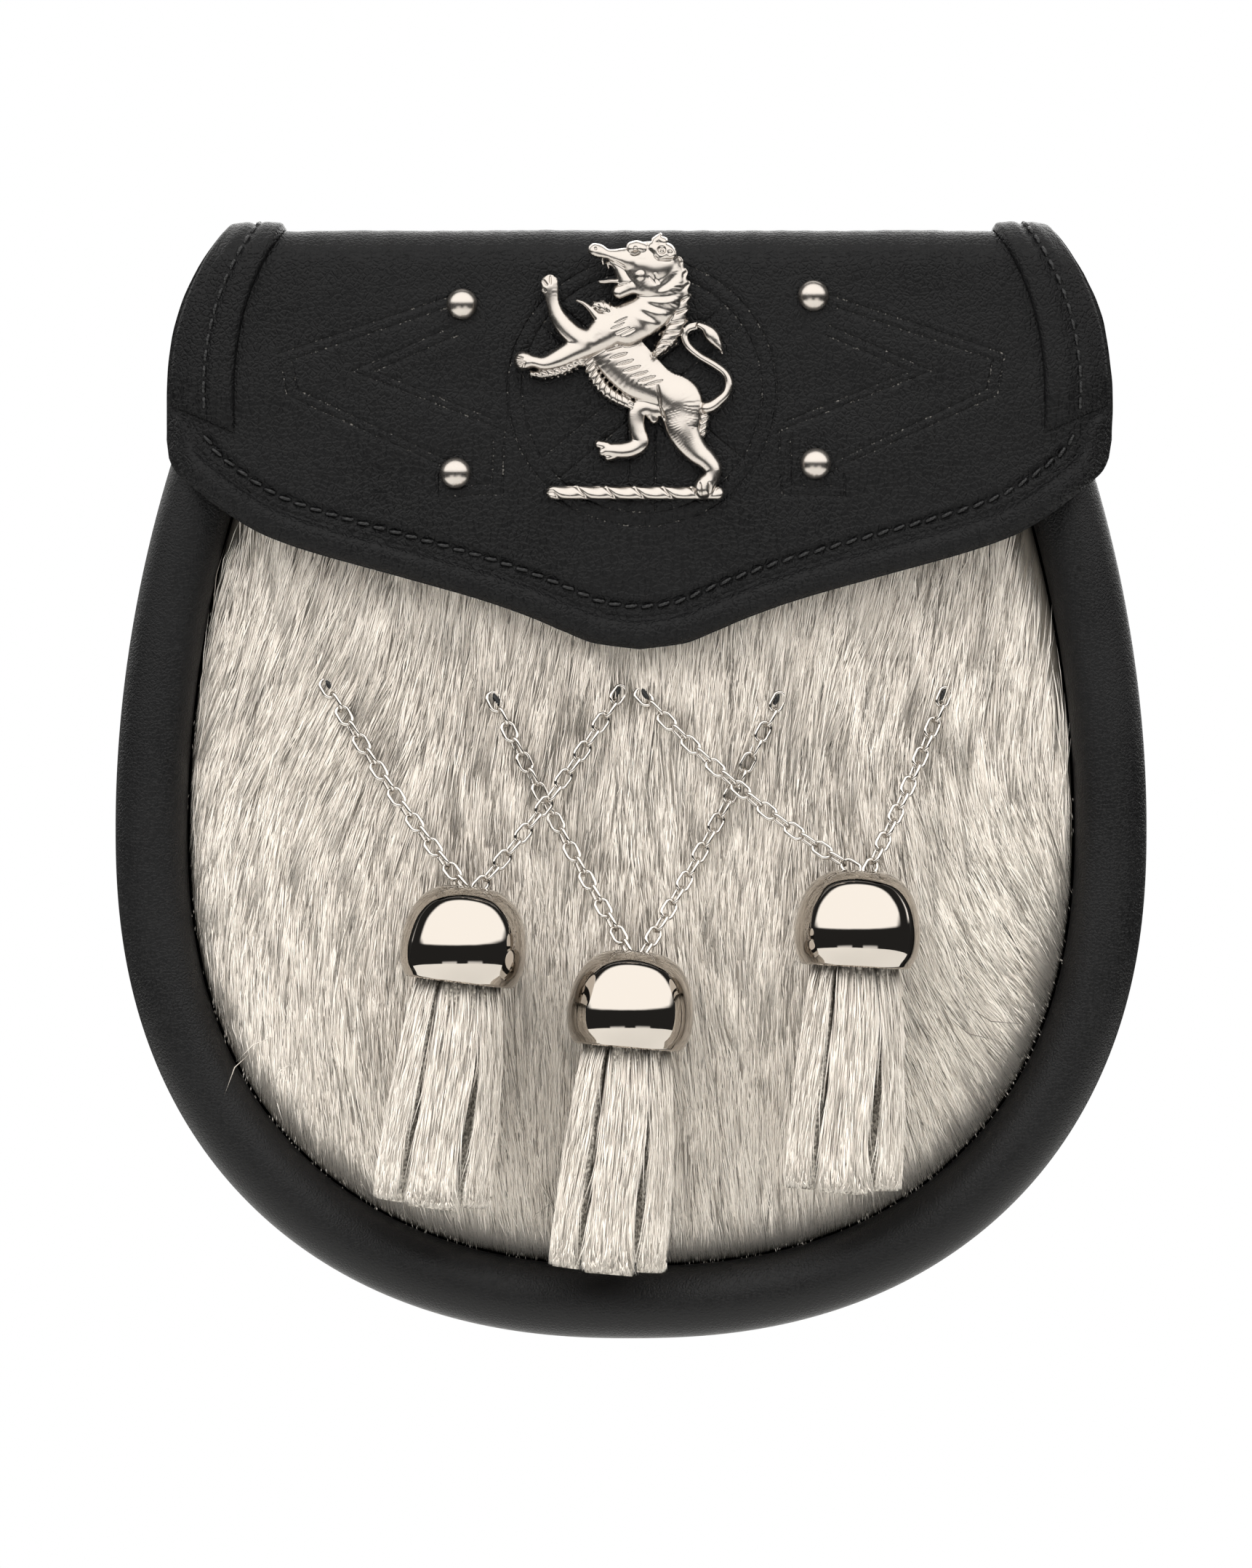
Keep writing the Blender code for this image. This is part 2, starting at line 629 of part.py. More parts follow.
def make_stud(name, across, up, collection, nickel):
    """A domed stud seated on the flap."""
    profile = [(0.0, STUD_HEIGHT)]
    for angle in np.radians((62, 34, 8)):
        profile.append((STUD_RADIUS * math.cos(angle), STUD_HEIGHT * math.sin(angle)))
    profile += [(STUD_RADIUS * 0.96, 0.0), (0.0, 0.0)]
    stud = turned(name, profile, collection, nickel)
    stud.rotation_euler = (math.pi / 2, 0, 0)
    stud.location = (across, flap_seat(across, up, STUD_RADIUS), up)


def flap_seat(across, up, reach):
    """The y that clears the flap's outer face over a small flat piece of the given reach."""
    levels = np.linspace(up - reach, up + reach, 5)
    return float(np.min(flap_front(np.minimum(levels, TOP - FLAP_CORNER)))) - GAP


def limb_solid(rows):
    """A half round limb on a flat back, carried along its middle line, with rounded ends."""
    scale = BADGE_HEIGHT / 100
    rows = np.array(rows) * scale
    ends = []
    for tip, before in ((0, 1), (-1, -2)):
        away = rows[tip, :2] - rows[before, :2]
        away /= np.linalg.norm(away)
        radius = rows[tip, 2]
        ends.append(np.append(rows[tip, :2] + away * radius * 0.7, radius * 0.5))
    rows = np.concatenate(([ends[0]], rows, [ends[1]]))
    along = np.gradient(rows[:, :2], axis=0)
    along /= np.linalg.norm(along, axis=1)[:, None]
    sideways = np.stack([-along[:, 1], along[:, 0]], axis=1)
    rings = []
    for (across, up, radius), side in zip(rows, sideways):
        height = BADGE_PLATE + BADGE_RELIEF * radius
        ring = [(across + side[0] * u * radius, -v * height, up + side[1] * u * radius) for u, v in LION_SECTION]
        rings.append(ring)
    return loft(rings)


def make_badge(collection, nickel):
    """The cast lion on its bar, one casting with a flat back."""
    badge = join_solids("lion_badge", [limb_solid(rows) for rows in LION.values()], collection, nickel)
    middle = BADGE_HEIGHT / 2 - BADGE_FOOT_DROP
    badge.location = (BADGE_CENTRE, flap_seat(BADGE_CENTRE, middle, BADGE_HEIGHT / 2), -BADGE_FOOT_DROP)


def tassel_frame(across, drop, lean):
    """Places a tassel: its own origin is the top of its cap, on the axis, and it rests against the hide."""
    low = np.array([across, -drop - CAP_HEIGHT / 2])
    rest = float(np.min(hide_base(np.array([low, low + (0, CAP_HEIGHT)])))) - LOCK_HEIGHT
    depth = rest - GAP - CAP_RADIUS
    turn = Matrix.Rotation(math.radians(lean), 4, "Y")
    return Matrix.Translation((across, depth, -drop)) @ turn @ Matrix.Translation((0, 0, CAP_HEIGHT / 2))


def cap_profile():
    """The bell's section: down the outside and up the inside, a wall apart."""
    outer = [(CAP_HOLE_RADIUS, 0.0)]
    outer += [(CAP_RADIUS * radius, -CAP_HEIGHT * drop) for radius, drop in CAP_PROFILE]
    inner = []
    for radius, drop in reversed(CAP_PROFILE[:-1]):
        sunk = CAP_WALL * (1 - drop)
        inner.append((CAP_RADIUS * radius - CAP_WALL, -CAP_HEIGHT * drop - sunk))
    lip = (CAP_RADIUS * CAP_PROFILE[-1][0] - CAP_WALL, -CAP_HEIGHT)
    return outer + [lip] + inner + [(CAP_HOLE_RADIUS, -CAP_WALL)]


def strip_solid(angle, length, splay):
    """One cut strip of hide: its hair side bows out, and it spreads towards its foot."""
    turn = math.radians(angle)
    out = np.array([math.cos(turn), math.sin(turn), 0])
    side = np.array([-math.sin(turn), math.cos(turn), 0])
    top = -CAP_HEIGHT * 0.72
    foot = -CAP_HEIGHT - TASSEL_LENGTH * length
    rings = []
    for share in (0.0, 0.3, 0.65, 1.0):
        radius = STRIP_TOP_RADIUS + STRIP_SPLAY * splay * share**0.8
        width = STRIP_WIDTH / 2 * (0.88 + 0.42 * share)
        section = ((-width, 0), (-width, 0.7), (0, 1.0), (width, 0.7), (width, 0))
        height = np.array([0, 0, top + (foot - top) * share])
        rings.append([height + side * u + out * (radius + v * STRIP_THICKNESS) for u, v in section])
    return loft(rings)


def head_solid():
    """The tassel's head: a knob through the cap's hole over a plug that carries the strips."""
    knob = CAP_HOLE_RADIUS - 0.6 * MM
    profile = ((knob, -GAP), (knob, -CAP_HEIGHT * 0.2), (HEAD_RADIUS, -CAP_HEIGHT * 0.42), (HEAD_RADIUS, -CAP_HEIGHT))
    turn = np.linspace(0, 2 * math.pi, TURNED_STEPS, endpoint=False)
    rings = [np.stack([r * np.cos(turn), r * np.sin(turn), np.full(TURNED_STEPS, z)], axis=1) for r, z in profile]
    return loft(rings)


def make_tassel(name, across, drop, lean, collection, hide, nickel):
    """A bright bell cap and the hide tassel that hangs in it."""
    place = tassel_frame(across, drop, lean)
    cap = turned(f"tassel_cap_{name}", cap_profile(), collection, nickel)
    cap.matrix_world = place
    solids = [head_solid()] + [strip_solid(*row) for row in STRIPS]
    tassel = join_solids(f"tassel_{name}", solids, collection, hide)
    tassel.matrix_world = place


def chain_route(across, drop, tassel, side, sag, late):
    """A chain's run from its hole in the hide to the top of its cap, as evenly spaced points."""
    place = {row[0]: tassel_frame(*row[1:]) for row in TASSELS}[tassel]
    end = np.array(place @ Vector((side * CHAIN_SPREAD, 0, CHAIN_WIDTH * 0.45)))
    hole = np.array([across, -drop])
    start_depth = float(hide_front(hole)) - GAP - CHAIN_WIDTH / 2
    share = np.linspace(0, 1, 60)
    flat = hole + (end[[0, 2]] - hole) * share[:, None]
    flat[:, 1] -= sag * 4 * share * (1 - share)
    depth = start_depth + (end[1] - start_depth) * share**late
    path = np.stack([flat[:, 0], depth, flat[:, 1]], axis=1)
    length = np.linalg.norm(np.diff(path, axis=0), axis=1).sum()
    return evenly_spaced(path, int(round(length / (2.8 * CHAIN_WIDTH))) + 1)


def make_chain(name, row, collection, nickel):
    """A chain's outer form, as a round tube along its run."""
    curve = bpy.data.curves.new(name, "CURVE")
    curve.dimensions = "3D"
    curve.bevel_depth = CHAIN_WIDTH / 2
    curve.bevel_resolution = 2
    curve.use_fill_caps = True
    points = chain_route(*row)
    spline = curve.splines.new("POLY")
    spline.points.add(len(points) - 1)
    for point, place in zip(spline.points, points):
        point.co = (*place, 1)
    curve.materials.append(nickel)
    collection.objects.link(bpy.data.objects.new(name, curve))


def make_strap_loop(name, across, collection, leather):
    """A strip of leather that stands off the flap's rear leg and leaves a slot for the strap."""
    slot = STRAP_SLOT_HEIGHT / 2
    near = GAP
    far = GAP + STRAP_SLOT_DEPTH
    outer = ((slot + LOOP_TAB, near), (slot + LOOP_TAB, near + LOOP_WALL), (slot + LOOP_WALL, near + LOOP_WALL))
    outer += ((slot, far + LOOP_WALL),)
    inner = ((slot - LOOP_WALL, far), (slot, near))
    ring = [(far_y, up) for up, far_y in outer] + [(far_y, -up) for up, far_y in reversed(outer)]
    ring += [(far_y, -up) for up, far_y in reversed(inner)] + [(far_y, up) for up, far_y in inner]
    rings = [[(across + side * LOOP_WIDTH / 2, depth, up) for depth, up in ring] for side in (-1, 1)]
    add_object(name, *loft(rings), collection, leather)


def main():
    clear_scene()
    parts = new_collection(PART_NAME)
    leather = new_material("black_leather", LEATHER)
    hide = new_material("grey_hide", HIDE)
    nickel = new_material("nickel_plate", NICKEL)
    make_back_panel(parts, leather)
    make_gusset(parts, leather)
    make_front_panel(parts, hide)
    make_flap(parts, leather)
    make_side_band("flap_side_band_left", -1, parts, leather)
    make_side_band("flap_side_band_right", 1, parts, leather)
    make_snap(parts, nickel)
    for name, across, up in STUDS:
        make_stud(f"stud_{name}", across, up, parts, nickel)
    make_badge(parts, nickel)
    for row in TASSELS:
        make_tassel(*row, parts, hide, nickel)
    for number, row in enumerate(CHAINS, 1):
        make_chain(f"chain_{number}", row, parts, nickel)
    make_strap_loop("strap_loop_left", -LOOP_OFFSET, parts, leather)
    make_strap_loop("strap_loop_right", LOOP_OFFSET, parts, leather)


main()
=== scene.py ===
# %% [markdown]
# # A sporran pouch, dressed from its frame
# The imported model gives the pouch's pieces at their real size and place. This lesson gives each one
# the surface of the real thing: grained black leather, lying hair, a cast badge and fine chain.
# It starts by loading that frame.

# %% The frame
import math

import bpy
import numpy as np
from mathutils import Matrix, Vector


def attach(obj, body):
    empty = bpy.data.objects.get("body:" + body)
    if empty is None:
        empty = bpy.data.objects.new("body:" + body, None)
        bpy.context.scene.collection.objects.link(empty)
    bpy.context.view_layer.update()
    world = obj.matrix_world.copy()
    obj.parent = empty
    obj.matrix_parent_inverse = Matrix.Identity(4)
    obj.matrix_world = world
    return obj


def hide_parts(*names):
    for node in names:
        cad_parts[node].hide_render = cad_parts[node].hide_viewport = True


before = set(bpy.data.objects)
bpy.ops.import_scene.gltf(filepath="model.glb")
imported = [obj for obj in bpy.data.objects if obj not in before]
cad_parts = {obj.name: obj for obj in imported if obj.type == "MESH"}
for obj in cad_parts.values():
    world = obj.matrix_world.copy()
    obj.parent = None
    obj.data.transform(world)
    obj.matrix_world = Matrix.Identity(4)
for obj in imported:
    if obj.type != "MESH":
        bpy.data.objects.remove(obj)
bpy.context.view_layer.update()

MM = 0.001

# %% [markdown]
# ## The camera
# The photograph was taken straight from the front with a long lens, so lines in depth hardly converge.
# A camera 2.5 m away does the same. Its lens follows from how many millimetres one pixel of the
# photograph covers at the depth of the hide, and its place from where the middle of the picture
# falls on the pouch.

# %% Camera
PHOTO_SIZE = (1722, 2156)
MM_PER_PIXEL = 0.1323
STRAP_LINE_PIXEL = (868, 547)
CAMERA_DISTANCE = 2500 * MM
SCALE_DEPTH = 35 * MM
SENSOR = 24.0


def photo_place(column, row):
    """Across and up from the strap line, in metres, of a pixel of the photograph."""
    across = (column - STRAP_LINE_PIXEL[0]) * MM_PER_PIXEL * MM
    return across, (STRAP_LINE_PIXEL[1] - row) * MM_PER_PIXEL * MM


middle_across, middle_up = photo_place(PHOTO_SIZE[0] / 2, PHOTO_SIZE[1] / 2)
camera_data = bpy.data.cameras.new("camera")
camera_data.sensor_fit = "VERTICAL"
camera_data.sensor_height = SENSOR
camera_data.lens = SENSOR * CAMERA_DISTANCE / (PHOTO_SIZE[1] * MM_PER_PIXEL * MM)
camera = bpy.data.objects.new("camera", camera_data)
camera.location = (middle_across, -CAMERA_DISTANCE - SCALE_DEPTH, middle_up)
camera.rotation_euler = (math.pi / 2, 0, 0)
bpy.context.scene.collection.objects.link(camera)
bpy.context.scene.camera = camera
bpy.context.scene.view_settings.view_transform = "Standard"
print("lens", round(camera_data.lens, 1), "mm")

# %% [markdown]
# ## Small tools
# A mesh of many thousand points is quick when its arrays go in whole. A grid of points becomes quads
# between its neighbours, and `sheet` closes a front and a rear grid into one solid with a rim.
# `smooth_table` reads a short table between its rows without overshooting them.

# %% Mesh tools
def linear(code):
    """A colour from its sRGB hex code, each channel through the sRGB curve to linear light."""
    channels = [int(code[place:place + 2], 16) / 255 for place in (1, 3, 5)]
    return tuple(c / 12.92 if c <= 0.04045 else ((c + 0.055) / 1.055) ** 2.4 for c in channels)


def put_mesh(name, points, faces, material, tones=None):
    """Makes an object from whole arrays: faces is a list of index arrays, one row for each face."""
    faces = [np.asarray(group, np.int32) for group in faces]
    corners = np.concatenate([group.ravel() for group in faces])
    sizes = np.concatenate([np.full(len(group), group.shape[1], np.int32) for group in faces])
    starts = np.concatenate(([0], np.cumsum(sizes)[:-1])).astype(np.int32)
    mesh = bpy.data.meshes.new(name)
    mesh.vertices.add(len(points))
    mesh.vertices.foreach_set("co", np.asarray(points, np.float32).ravel())
    mesh.loops.add(len(corners))
    mesh.loops.foreach_set("vertex_index", corners)
    mesh.polygons.add(len(sizes))
    mesh.polygons.foreach_set("loop_start", starts)
    mesh.update(calc_edges=True)
    mesh.polygons.foreach_set("use_smooth", np.full(len(sizes), True))
    if tones is not None:
        mesh.attributes.new("tone", "FLOAT", "POINT").data.foreach_set("value", np.asarray(tones, np.float32))
    mesh.materials.append(material)
    mesh.validate()
    thing = bpy.data.objects.new(name, mesh)
    bpy.context.scene.collection.objects.link(thing)
    return thing


def grid_quads(rows, columns, start=0, around=False):
    """The quads between a grid's neighbours; around joins the last column to the first."""
    row, column = np.meshgrid(np.arange(rows - 1), np.arange(columns if around else columns - 1), indexing="ij")
    after = (column + 1) % columns
    low, high = start + row * columns, start + (row + 1) * columns
    return np.stack([low + column, low + after, high + after, high + column], axis=-1).reshape(-1, 4)


def looped_quads(rows, columns):
    """The quads of a grid whose last row also joins its first."""
    return grid_quads(rows + 1, columns, around=True) % (rows * columns)


def repeated(faces, count, size):
    """One shape's faces for count copies of it, each of size points."""
    return (faces[None] + (np.arange(count) * size)[:, None, None]).reshape(-1, faces.shape[1])


def cell_corners(grid):
    """A grid read at the four corners of each of its cells, in turn."""
    return grid[:-1, :-1], grid[1:, :-1], grid[1:, 1:], grid[:-1, 1:]


def tube(rings):
    """Points and faces of a solid through closed rings, its ends closed by flat caps."""
    rings = np.asarray(rings)
    count, sides = rings.shape[:2]
    first = np.arange(sides)[::-1][None, :]
    last = (count - 1) * sides + np.arange(sides)[None, :]
    return rings.reshape(-1, 3), [grid_quads(count, sides, around=True), first, last]


def grid_rim(index):
    """A grid's point numbers once round its rim."""
    return np.concatenate((index[0, :-1], index[:-1, -1], index[-1, :0:-1], index[:0:-1, 0]))


def sheet(front, rear):
    """Points and faces of a solid between two grids of the same size, the front one facing out."""
    rows, columns = front.shape[:2]
    size = rows * columns
    rim = grid_rim(np.arange(size).reshape(rows, columns))
    after = np.roll(rim, -1)
    edge = np.stack([rim, rim + size, after + size, after], axis=1)
    faces = [grid_quads(rows, columns), grid_quads(rows, columns, size)[:, ::-1], edge]
    return np.concatenate((front.reshape(-1, 3), rear.reshape(-1, 3))), faces


def face_out(thing):
    """Turns a closed mesh's faces outwards if its volume comes out negative."""
    mesh = thing.data
    mesh.calc_loop_triangles()
    corners = np.empty(len(mesh.loop_triangles) * 3, np.int32)
    mesh.loop_triangles.foreach_get("vertices", corners)
    places = np.empty(len(mesh.vertices) * 3, np.float32)
    mesh.vertices.foreach_get("co", places)
    a, b, c = places.reshape(-1, 3)[corners.reshape(-1, 3)].astype(float).transpose(1, 0, 2)
    if np.einsum("ij,ij->i", a, np.cross(b, c)).sum() < 0:
        mesh.flip_normals()
    return thing


def smooth_table(places, values, at):
    """Reads a table between its rows along a smooth curve that never overshoots a row."""
    places, values = np.asarray(places, float), np.asarray(values, float)
    gaps = np.diff(places)
    slope = np.diff(values) / gaps
    before, after = slope[:-1], slope[1:]
    same_way = before * after > 0
    mean = np.where(same_way, 2 * before * after / np.where(same_way, before + after, 1), 0)
    tangent = np.concatenate(([slope[0]], mean, [slope[-1]]))
    at = np.clip(at, places[0], places[-1])
    row = np.clip(np.searchsorted(places, at, side="right") - 1, 0, len(gaps) - 1)
    t = (at - places[row]) / gaps[row]
    rise = gaps[row] * (tangent[row] * (t**3 - 2 * t**2 + t) + tangent[row + 1] * (t**3 - t**2))
    return values[row] * (2 * t**3 - 3 * t**2 + 1) + values[row + 1] * (3 * t**2 - 2 * t**3) + rise


def lengths_along(path):
    """How far along a path each of its points lies."""
    return np.concatenate(([0], np.cumsum(np.linalg.norm(np.diff(path, axis=0), axis=1))))


def read_along(values, along, wanted):
    """The columns of values, known at the lengths along, read at the wanted lengths."""
    return np.stack([np.interp(wanted, along, column) for column in values.T], axis=1)


def evenly_spaced(points, count):
    """Count points at even distances along a path."""
    along = lengths_along(points)
    return read_along(points, along, np.linspace(0, along[-1], count))


def wander(across, up, wave, seed):
    """A smooth random field between about -1 and 1: five sine waves in random directions, over 2.6."""
    draw = np.random.default_rng(seed)
    total = 0
    for turn, shift, stretch in zip(draw.uniform(0, 7, 5), draw.uniform(0, 7, 5), draw.uniform(0.7, 1.5, 5)):
        angle = 2 * math.pi / (wave * stretch)
        total = total + np.sin(angle * (across * math.cos(turn) + up * math.sin(turn)) + shift)
    return total / 2.6


def unit(vectors):
    """The vectors at length 1."""
    return vectors / np.linalg.norm(vectors, axis=-1, keepdims=True)


def headings(path):
    """The direction of a path at each of its points."""
    return unit(np.gradient(path, axis=0))


def leftward(ways):
    """Flat directions turned a quarter to the left: (x, y) becomes (-y, x)."""
    return np.stack([-ways[:, 1], ways[:, 0]], axis=1)


def directions(grid, axis):
    """The direction along one axis of a grid, halfway between the steps before and after each point."""
    runs = unit(np.diff(grid, axis=axis))
    first, last = np.take(runs, [0], axis=axis), np.take(runs, [-1], axis=axis)
    return np.concatenate((first, runs), axis=axis) + np.concatenate((runs, last), axis=axis)


def circle(sides):
    """The angles of a circle's points, in radians."""
    return np.linspace(0, 2 * math.pi, sides, endpoint=False)


def stood(flat, depth):
    """Points (x, y, z) from (across, up) points and their depth y."""
    return np.stack([flat[..., 0], np.broadcast_to(depth, flat.shape[:-1]), flat[..., 1]], axis=-1)


def placed(points, place):
    """Points turned and moved by a matrix."""
    return points @ np.array(place.to_3x3()).T + np.array(place.translation)


print("mid grey #808080 is", round(linear("#808080")[0], 3), "in linear light")

# %% [markdown]
# ## Materials
# One function adds a node with its settings and links. Leather is dyed through and polished: nearly
# black, with a broad soft shine, and its grain is a net of creases a millimetre apart. Nickel plate on
# a cast badge is mirror bright with slight waves. Hair takes its colour from a tone written on each
# hair, so a streak runs the length of a hair, as on the animal.

# %% Materials
def step(tree, kind, inputs=None, **settings):
    """Adds a node: settings are its own properties, inputs its sockets, as numbers or as links."""
    node = tree.nodes.new(kind)
    for name, value in settings.items():
        setattr(node, name, value)
    for name, value in (inputs or {}).items():
        if isinstance(value, bpy.types.NodeSocket):
            tree.links.new(value, node.inputs[name])
        else:
            node.inputs[name].default_value = value
    return node


def start_material(name, colour, roughness, metallic=0.0):
    """A new material: its node tree, its shader, and the object's own coordinates in metres."""
    material = bpy.data.materials.new(name)
    material.use_nodes = True
    tree = material.node_tree
    shader = tree.nodes["Principled BSDF"]
    shader.inputs["Base Color"].default_value = (*linear(colour), 1)
    shader.inputs["Roughness"].default_value = roughness
    shader.inputs["Metallic"].default_value = metallic
    place = step(tree, "ShaderNodeTexCoord").outputs["Object"]
    return material, tree, shader, place


def math_step(tree, operation, first, second=0.0):
    """A sum on numbers."""
    return step(tree, "ShaderNodeMath", {0: first, 1: second}, operation=operation).outputs[0]


def vector_step(tree, operation, *values):
    """A sum on vectors, whose answer is a number for a length, a distance or a dot product."""
    sockets = (0, "Scale") if operation == "SCALE" else (0, 1)
    node = step(tree, "ShaderNodeVectorMath", dict(zip(sockets, values)), operation=operation)
    return node.outputs["Value" if operation in ("LENGTH", "DISTANCE", "DOT_PRODUCT") else "Vector"]


def noise(tree, place, scale, detail, output="Fac"):
    """Smooth random numbers, or colours, that change about once in 1 / scale metres."""
    return step(tree, "ShaderNodeTexNoise", {"Vector": place, "Scale": scale, "Detail": detail}).outputs[output]


def bump(tree, shader, height, strength, distance, **over):
    """Tilts the shading by a height, on top of an earlier Normal if one is given."""
    inputs = {"Height": height, "Strength": strength, "Distance": distance, **over}
    normal = step(tree, "ShaderNodeBump", inputs).outputs[0]
    tree.links.new(normal, shader.inputs["Normal"])
    return normal


def fade(tree, value, low, high):
    """Rises smoothly from 0 at low to 1 at high."""
    return step(tree, "ShaderNodeMapRange", {"Value": value, "From Min": low, "From Max": high},
                interpolation_type="SMOOTHSTEP").outputs["Result"]


def ramp(tree, value, stops):
    """A colour ramp over (place, hex colour) stops."""
    node = step(tree, "ShaderNodeValToRGB", {"Fac": value})
    band = node.color_ramp
    for spot, code in stops[1:-1]:
        band.elements.new(spot)
    for element, (spot, code) in zip(band.elements, stops):
        element.position = spot
        element.color = (*linear(code), 1)
    return node.outputs["Color"]


def numbers(tree, value, low, high):
    """Maps a value from 0..1 to low..high."""
    return step(tree, "ShaderNodeMapRange", {"Value": value, "To Min": low, "To Max": high}).outputs["Result"]


def leather(name, grain, depth, shine, gloss, pressed=None):
    """Dyed calf leather, polished: creases `grain` metres apart, and a pattern pressed in if one is given, with
    painted glints in the colour along its lines.
    """
    material, tree, shader, place = start_material(name, "#0b0b0c", shine)
    warp = noise(tree, place, 0.5 / grain, 3.0, "Color")
    bent = vector_step(tree, "ADD", place, vector_step(tree, "SCALE", warp, grain * 1.1))
    cells = step(tree, "ShaderNodeTexVoronoi", {"Vector": bent, "Scale": 1 / grain}, feature="DISTANCE_TO_EDGE")
    crease = step(tree, "ShaderNodeMapRange", {"Value": cells.outputs["Distance"], "From Max": 0.22}).outputs[0]
    height = math_step(tree, "MULTIPLY", crease, noise(tree, place, 2.6 / grain, 4.0))
    grained = bump(tree, shader, height, 0.85, depth)
    shade = noise(tree, place, 38.0, 5.0)
    tree.links.new(numbers(tree, shade, shine - 0.11, shine + 0.13), shader.inputs["Roughness"])
    if pressed:
        line = pressed(tree, place)
        bump(tree, shader, line, 0.9, 0.15 * MM, Normal=grained)
        # Painted glints: pale flecks mixed into the colour along the pressed lines stand for light caught on
        # their edges.
        flecks = step(tree, "ShaderNodeMapRange", {"Value": noise(tree, place, 2000.0, 2.0),
                                                   "From Min": 0.54, "From Max": 0.7}).outputs[0]
        painted_glints = math_step(tree, "MULTIPLY", math_step(tree, "SUBTRACT", 1.0, line), flecks)
        shade = math_step(tree, "ADD", shade, painted_glints)
    # The top stop, far paler than the dye, is reached only by the painted glints.
    palest = 1.4
    stops = ((0.3, "#060607"), (0.7, "#0c0c0d"), (0.8, "#0e0e0f"), (palest, "#6a6762"))
    dye_and_glints = ramp(tree, math_step(tree, "DIVIDE", shade, palest), [(spot / palest, code) for spot, code in stops])
    tree.links.new(dye_and_glints, shader.inputs["Base Color"])
    shader.inputs["Specular IOR Level"].default_value = gloss
    return material


def plated(name, colour, roughness, wave):
    """Bright plate over a casting or stamping: a mirror with waves a few millimetres long."""
    material, tree, shader, place = start_material(name, colour, roughness, 1.0)
    bump(tree, shader, noise(tree, place, 260.0, 2.0), 0.5, wave)
    haze = numbers(tree, noise(tree, place, 700.0, 3.0), roughness * 0.8, roughness * 1.25)
    tree.links.new(haze, shader.inputs["Roughness"])
    return material


def hair(name, stops, roughness):
    """Lying hair: smooth keratin with its own tone on each hair, from dark roots' grey to bleached tips."""
    material, tree, shader, _ = start_material(name, "#c8bfb2", roughness)
    tone = step(tree, "ShaderNodeAttribute", attribute_name="tone").outputs["Fac"]
    tree.links.new(ramp(tree, tone, stops), shader.inputs["Base Color"])
    shader.inputs["Specular IOR Level"].default_value = 0.45
    shader.inputs["Sheen Weight"].default_value = 0.12
    shader.inputs["Sheen Roughness"].default_value = 0.4
    return material


def suede(name):
    """The flesh side and cut edge of hide: grey, open fibres that speckle at half a millimetre."""
    material, tree, shader, place = start_material(name, "#8f8981", 0.9)
    speck = noise(tree, place, 1700.0, 3.0)
    stops = ((0.36, "#6b665e"), (0.5, "#aaa399"), (0.66, "#e6dfd4"))
    tree.links.new(ramp(tree, speck, stops), shader.inputs["Base Color"])
    bump(tree, shader, speck, 0.9, 0.4 * MM)
    return material


def thread(name):
    """Waxed black linen thread: twisted, so fine ridges cross it."""
    material, tree, shader, place = start_material(name, "#0c0c0d", 0.42)
    twist = step(tree, "ShaderNodeTexWave", {"Vector": place, "Scale": 700.0, "Distortion": 1.5},
                 bands_direction="DIAGONAL")
    bump(tree, shader, twist.outputs["Fac"], 0.6, 0.1 * MM)
    return material


rim_leather = leather("rolled_calf_leather", 0.7 * MM, 0.09 * MM, 0.40, 0.27)
nickel = plated("nickel_plated_casting", "#bcb5ae", 0.25, 0.04 * MM)
chrome = plated("chromed_brass", "#b8b1a9", 0.03, 0.02 * MM)
steel = plated("bright_steel_wire", "#cfcac4", 0.12, 0.03 * MM)
HAIR_TONES = ((0.0, "#544e47"), (0.3, "#a0978c"), (0.62, "#dfd6cb"), (1.0, "#fdf6ec"))
coat_hair = hair("lying_coat_hair", HAIR_TONES, 0.5)
skin = hair("under_coat", ((0.0, "#4b463f"), (0.5, "#a89f92"), (1.0, "#cfc6b8")), 0.8)
flesh_side = suede("suede_flesh_side")
waxed_thread = thread("waxed_linen_thread")
print("materials:", len(bpy.data.materials))

# %% [markdown]
# ## Light, floor and backdrop
# A packshot like this is taken in a light tent: a bright canopy in front from just above the horizon
# to the top, another behind, two lower panes beside the camera, and darkness elsewhere. The bells
# mirror all of it, and black leather stays black because what it mirrors straight ahead is dark. The
# tent is painted on the world by direction: each edge is a soft step over a small range of the
# direction's part to the side, ahead or up. One lamp at the upper left gives the hair its direction,
# one behind draws the edges, and the camera itself sees plain white paper.

# %% Light
def product(tree, *values):
    """Multiplies two or more values."""
    total = values[0]
    for value in values[1:]:
        total = math_step(tree, "MULTIPLY", total, value)
    return total


world = bpy.data.worlds.new("light_tent")
bpy.context.scene.world = world
world.use_nodes = True
sky = world.node_tree
toward = step(sky, "ShaderNodeTexCoord").outputs["Generated"]
parts = step(sky, "ShaderNodeSeparateXYZ", {0: toward}).outputs
beside = math_step(sky, "ABSOLUTE", parts["X"])
above, within = fade(sky, parts["Z"], 0.12, 0.18), fade(sky, beside, 0.995, 0.95)
ahead, behind = fade(sky, parts["Y"], 0.0, -0.10), fade(sky, parts["Y"], 0.26, 0.36)
canopy = product(sky, above, math_step(sky, "ADD", ahead, behind), within)
pane = product(sky, fade(sky, parts["Z"], -0.24, -0.32), fade(sky, parts["Z"], -0.78, -0.70),
               fade(sky, beside, 0.14, 0.20), fade(sky, beside, 0.62, 0.56),
               fade(sky, parts["Y"], -0.25, -0.35))
CANOPY_GLOW, PANE_GLOW, ROOM_GLOW = 1.95, 1.1, 0.03
glow = math_step(sky, "ADD", product(sky, canopy, CANOPY_GLOW), product(sky, pane, PANE_GLOW))
room = sky.nodes["Background"]
room.inputs["Color"].default_value = (*linear("#fffefc"), 1)
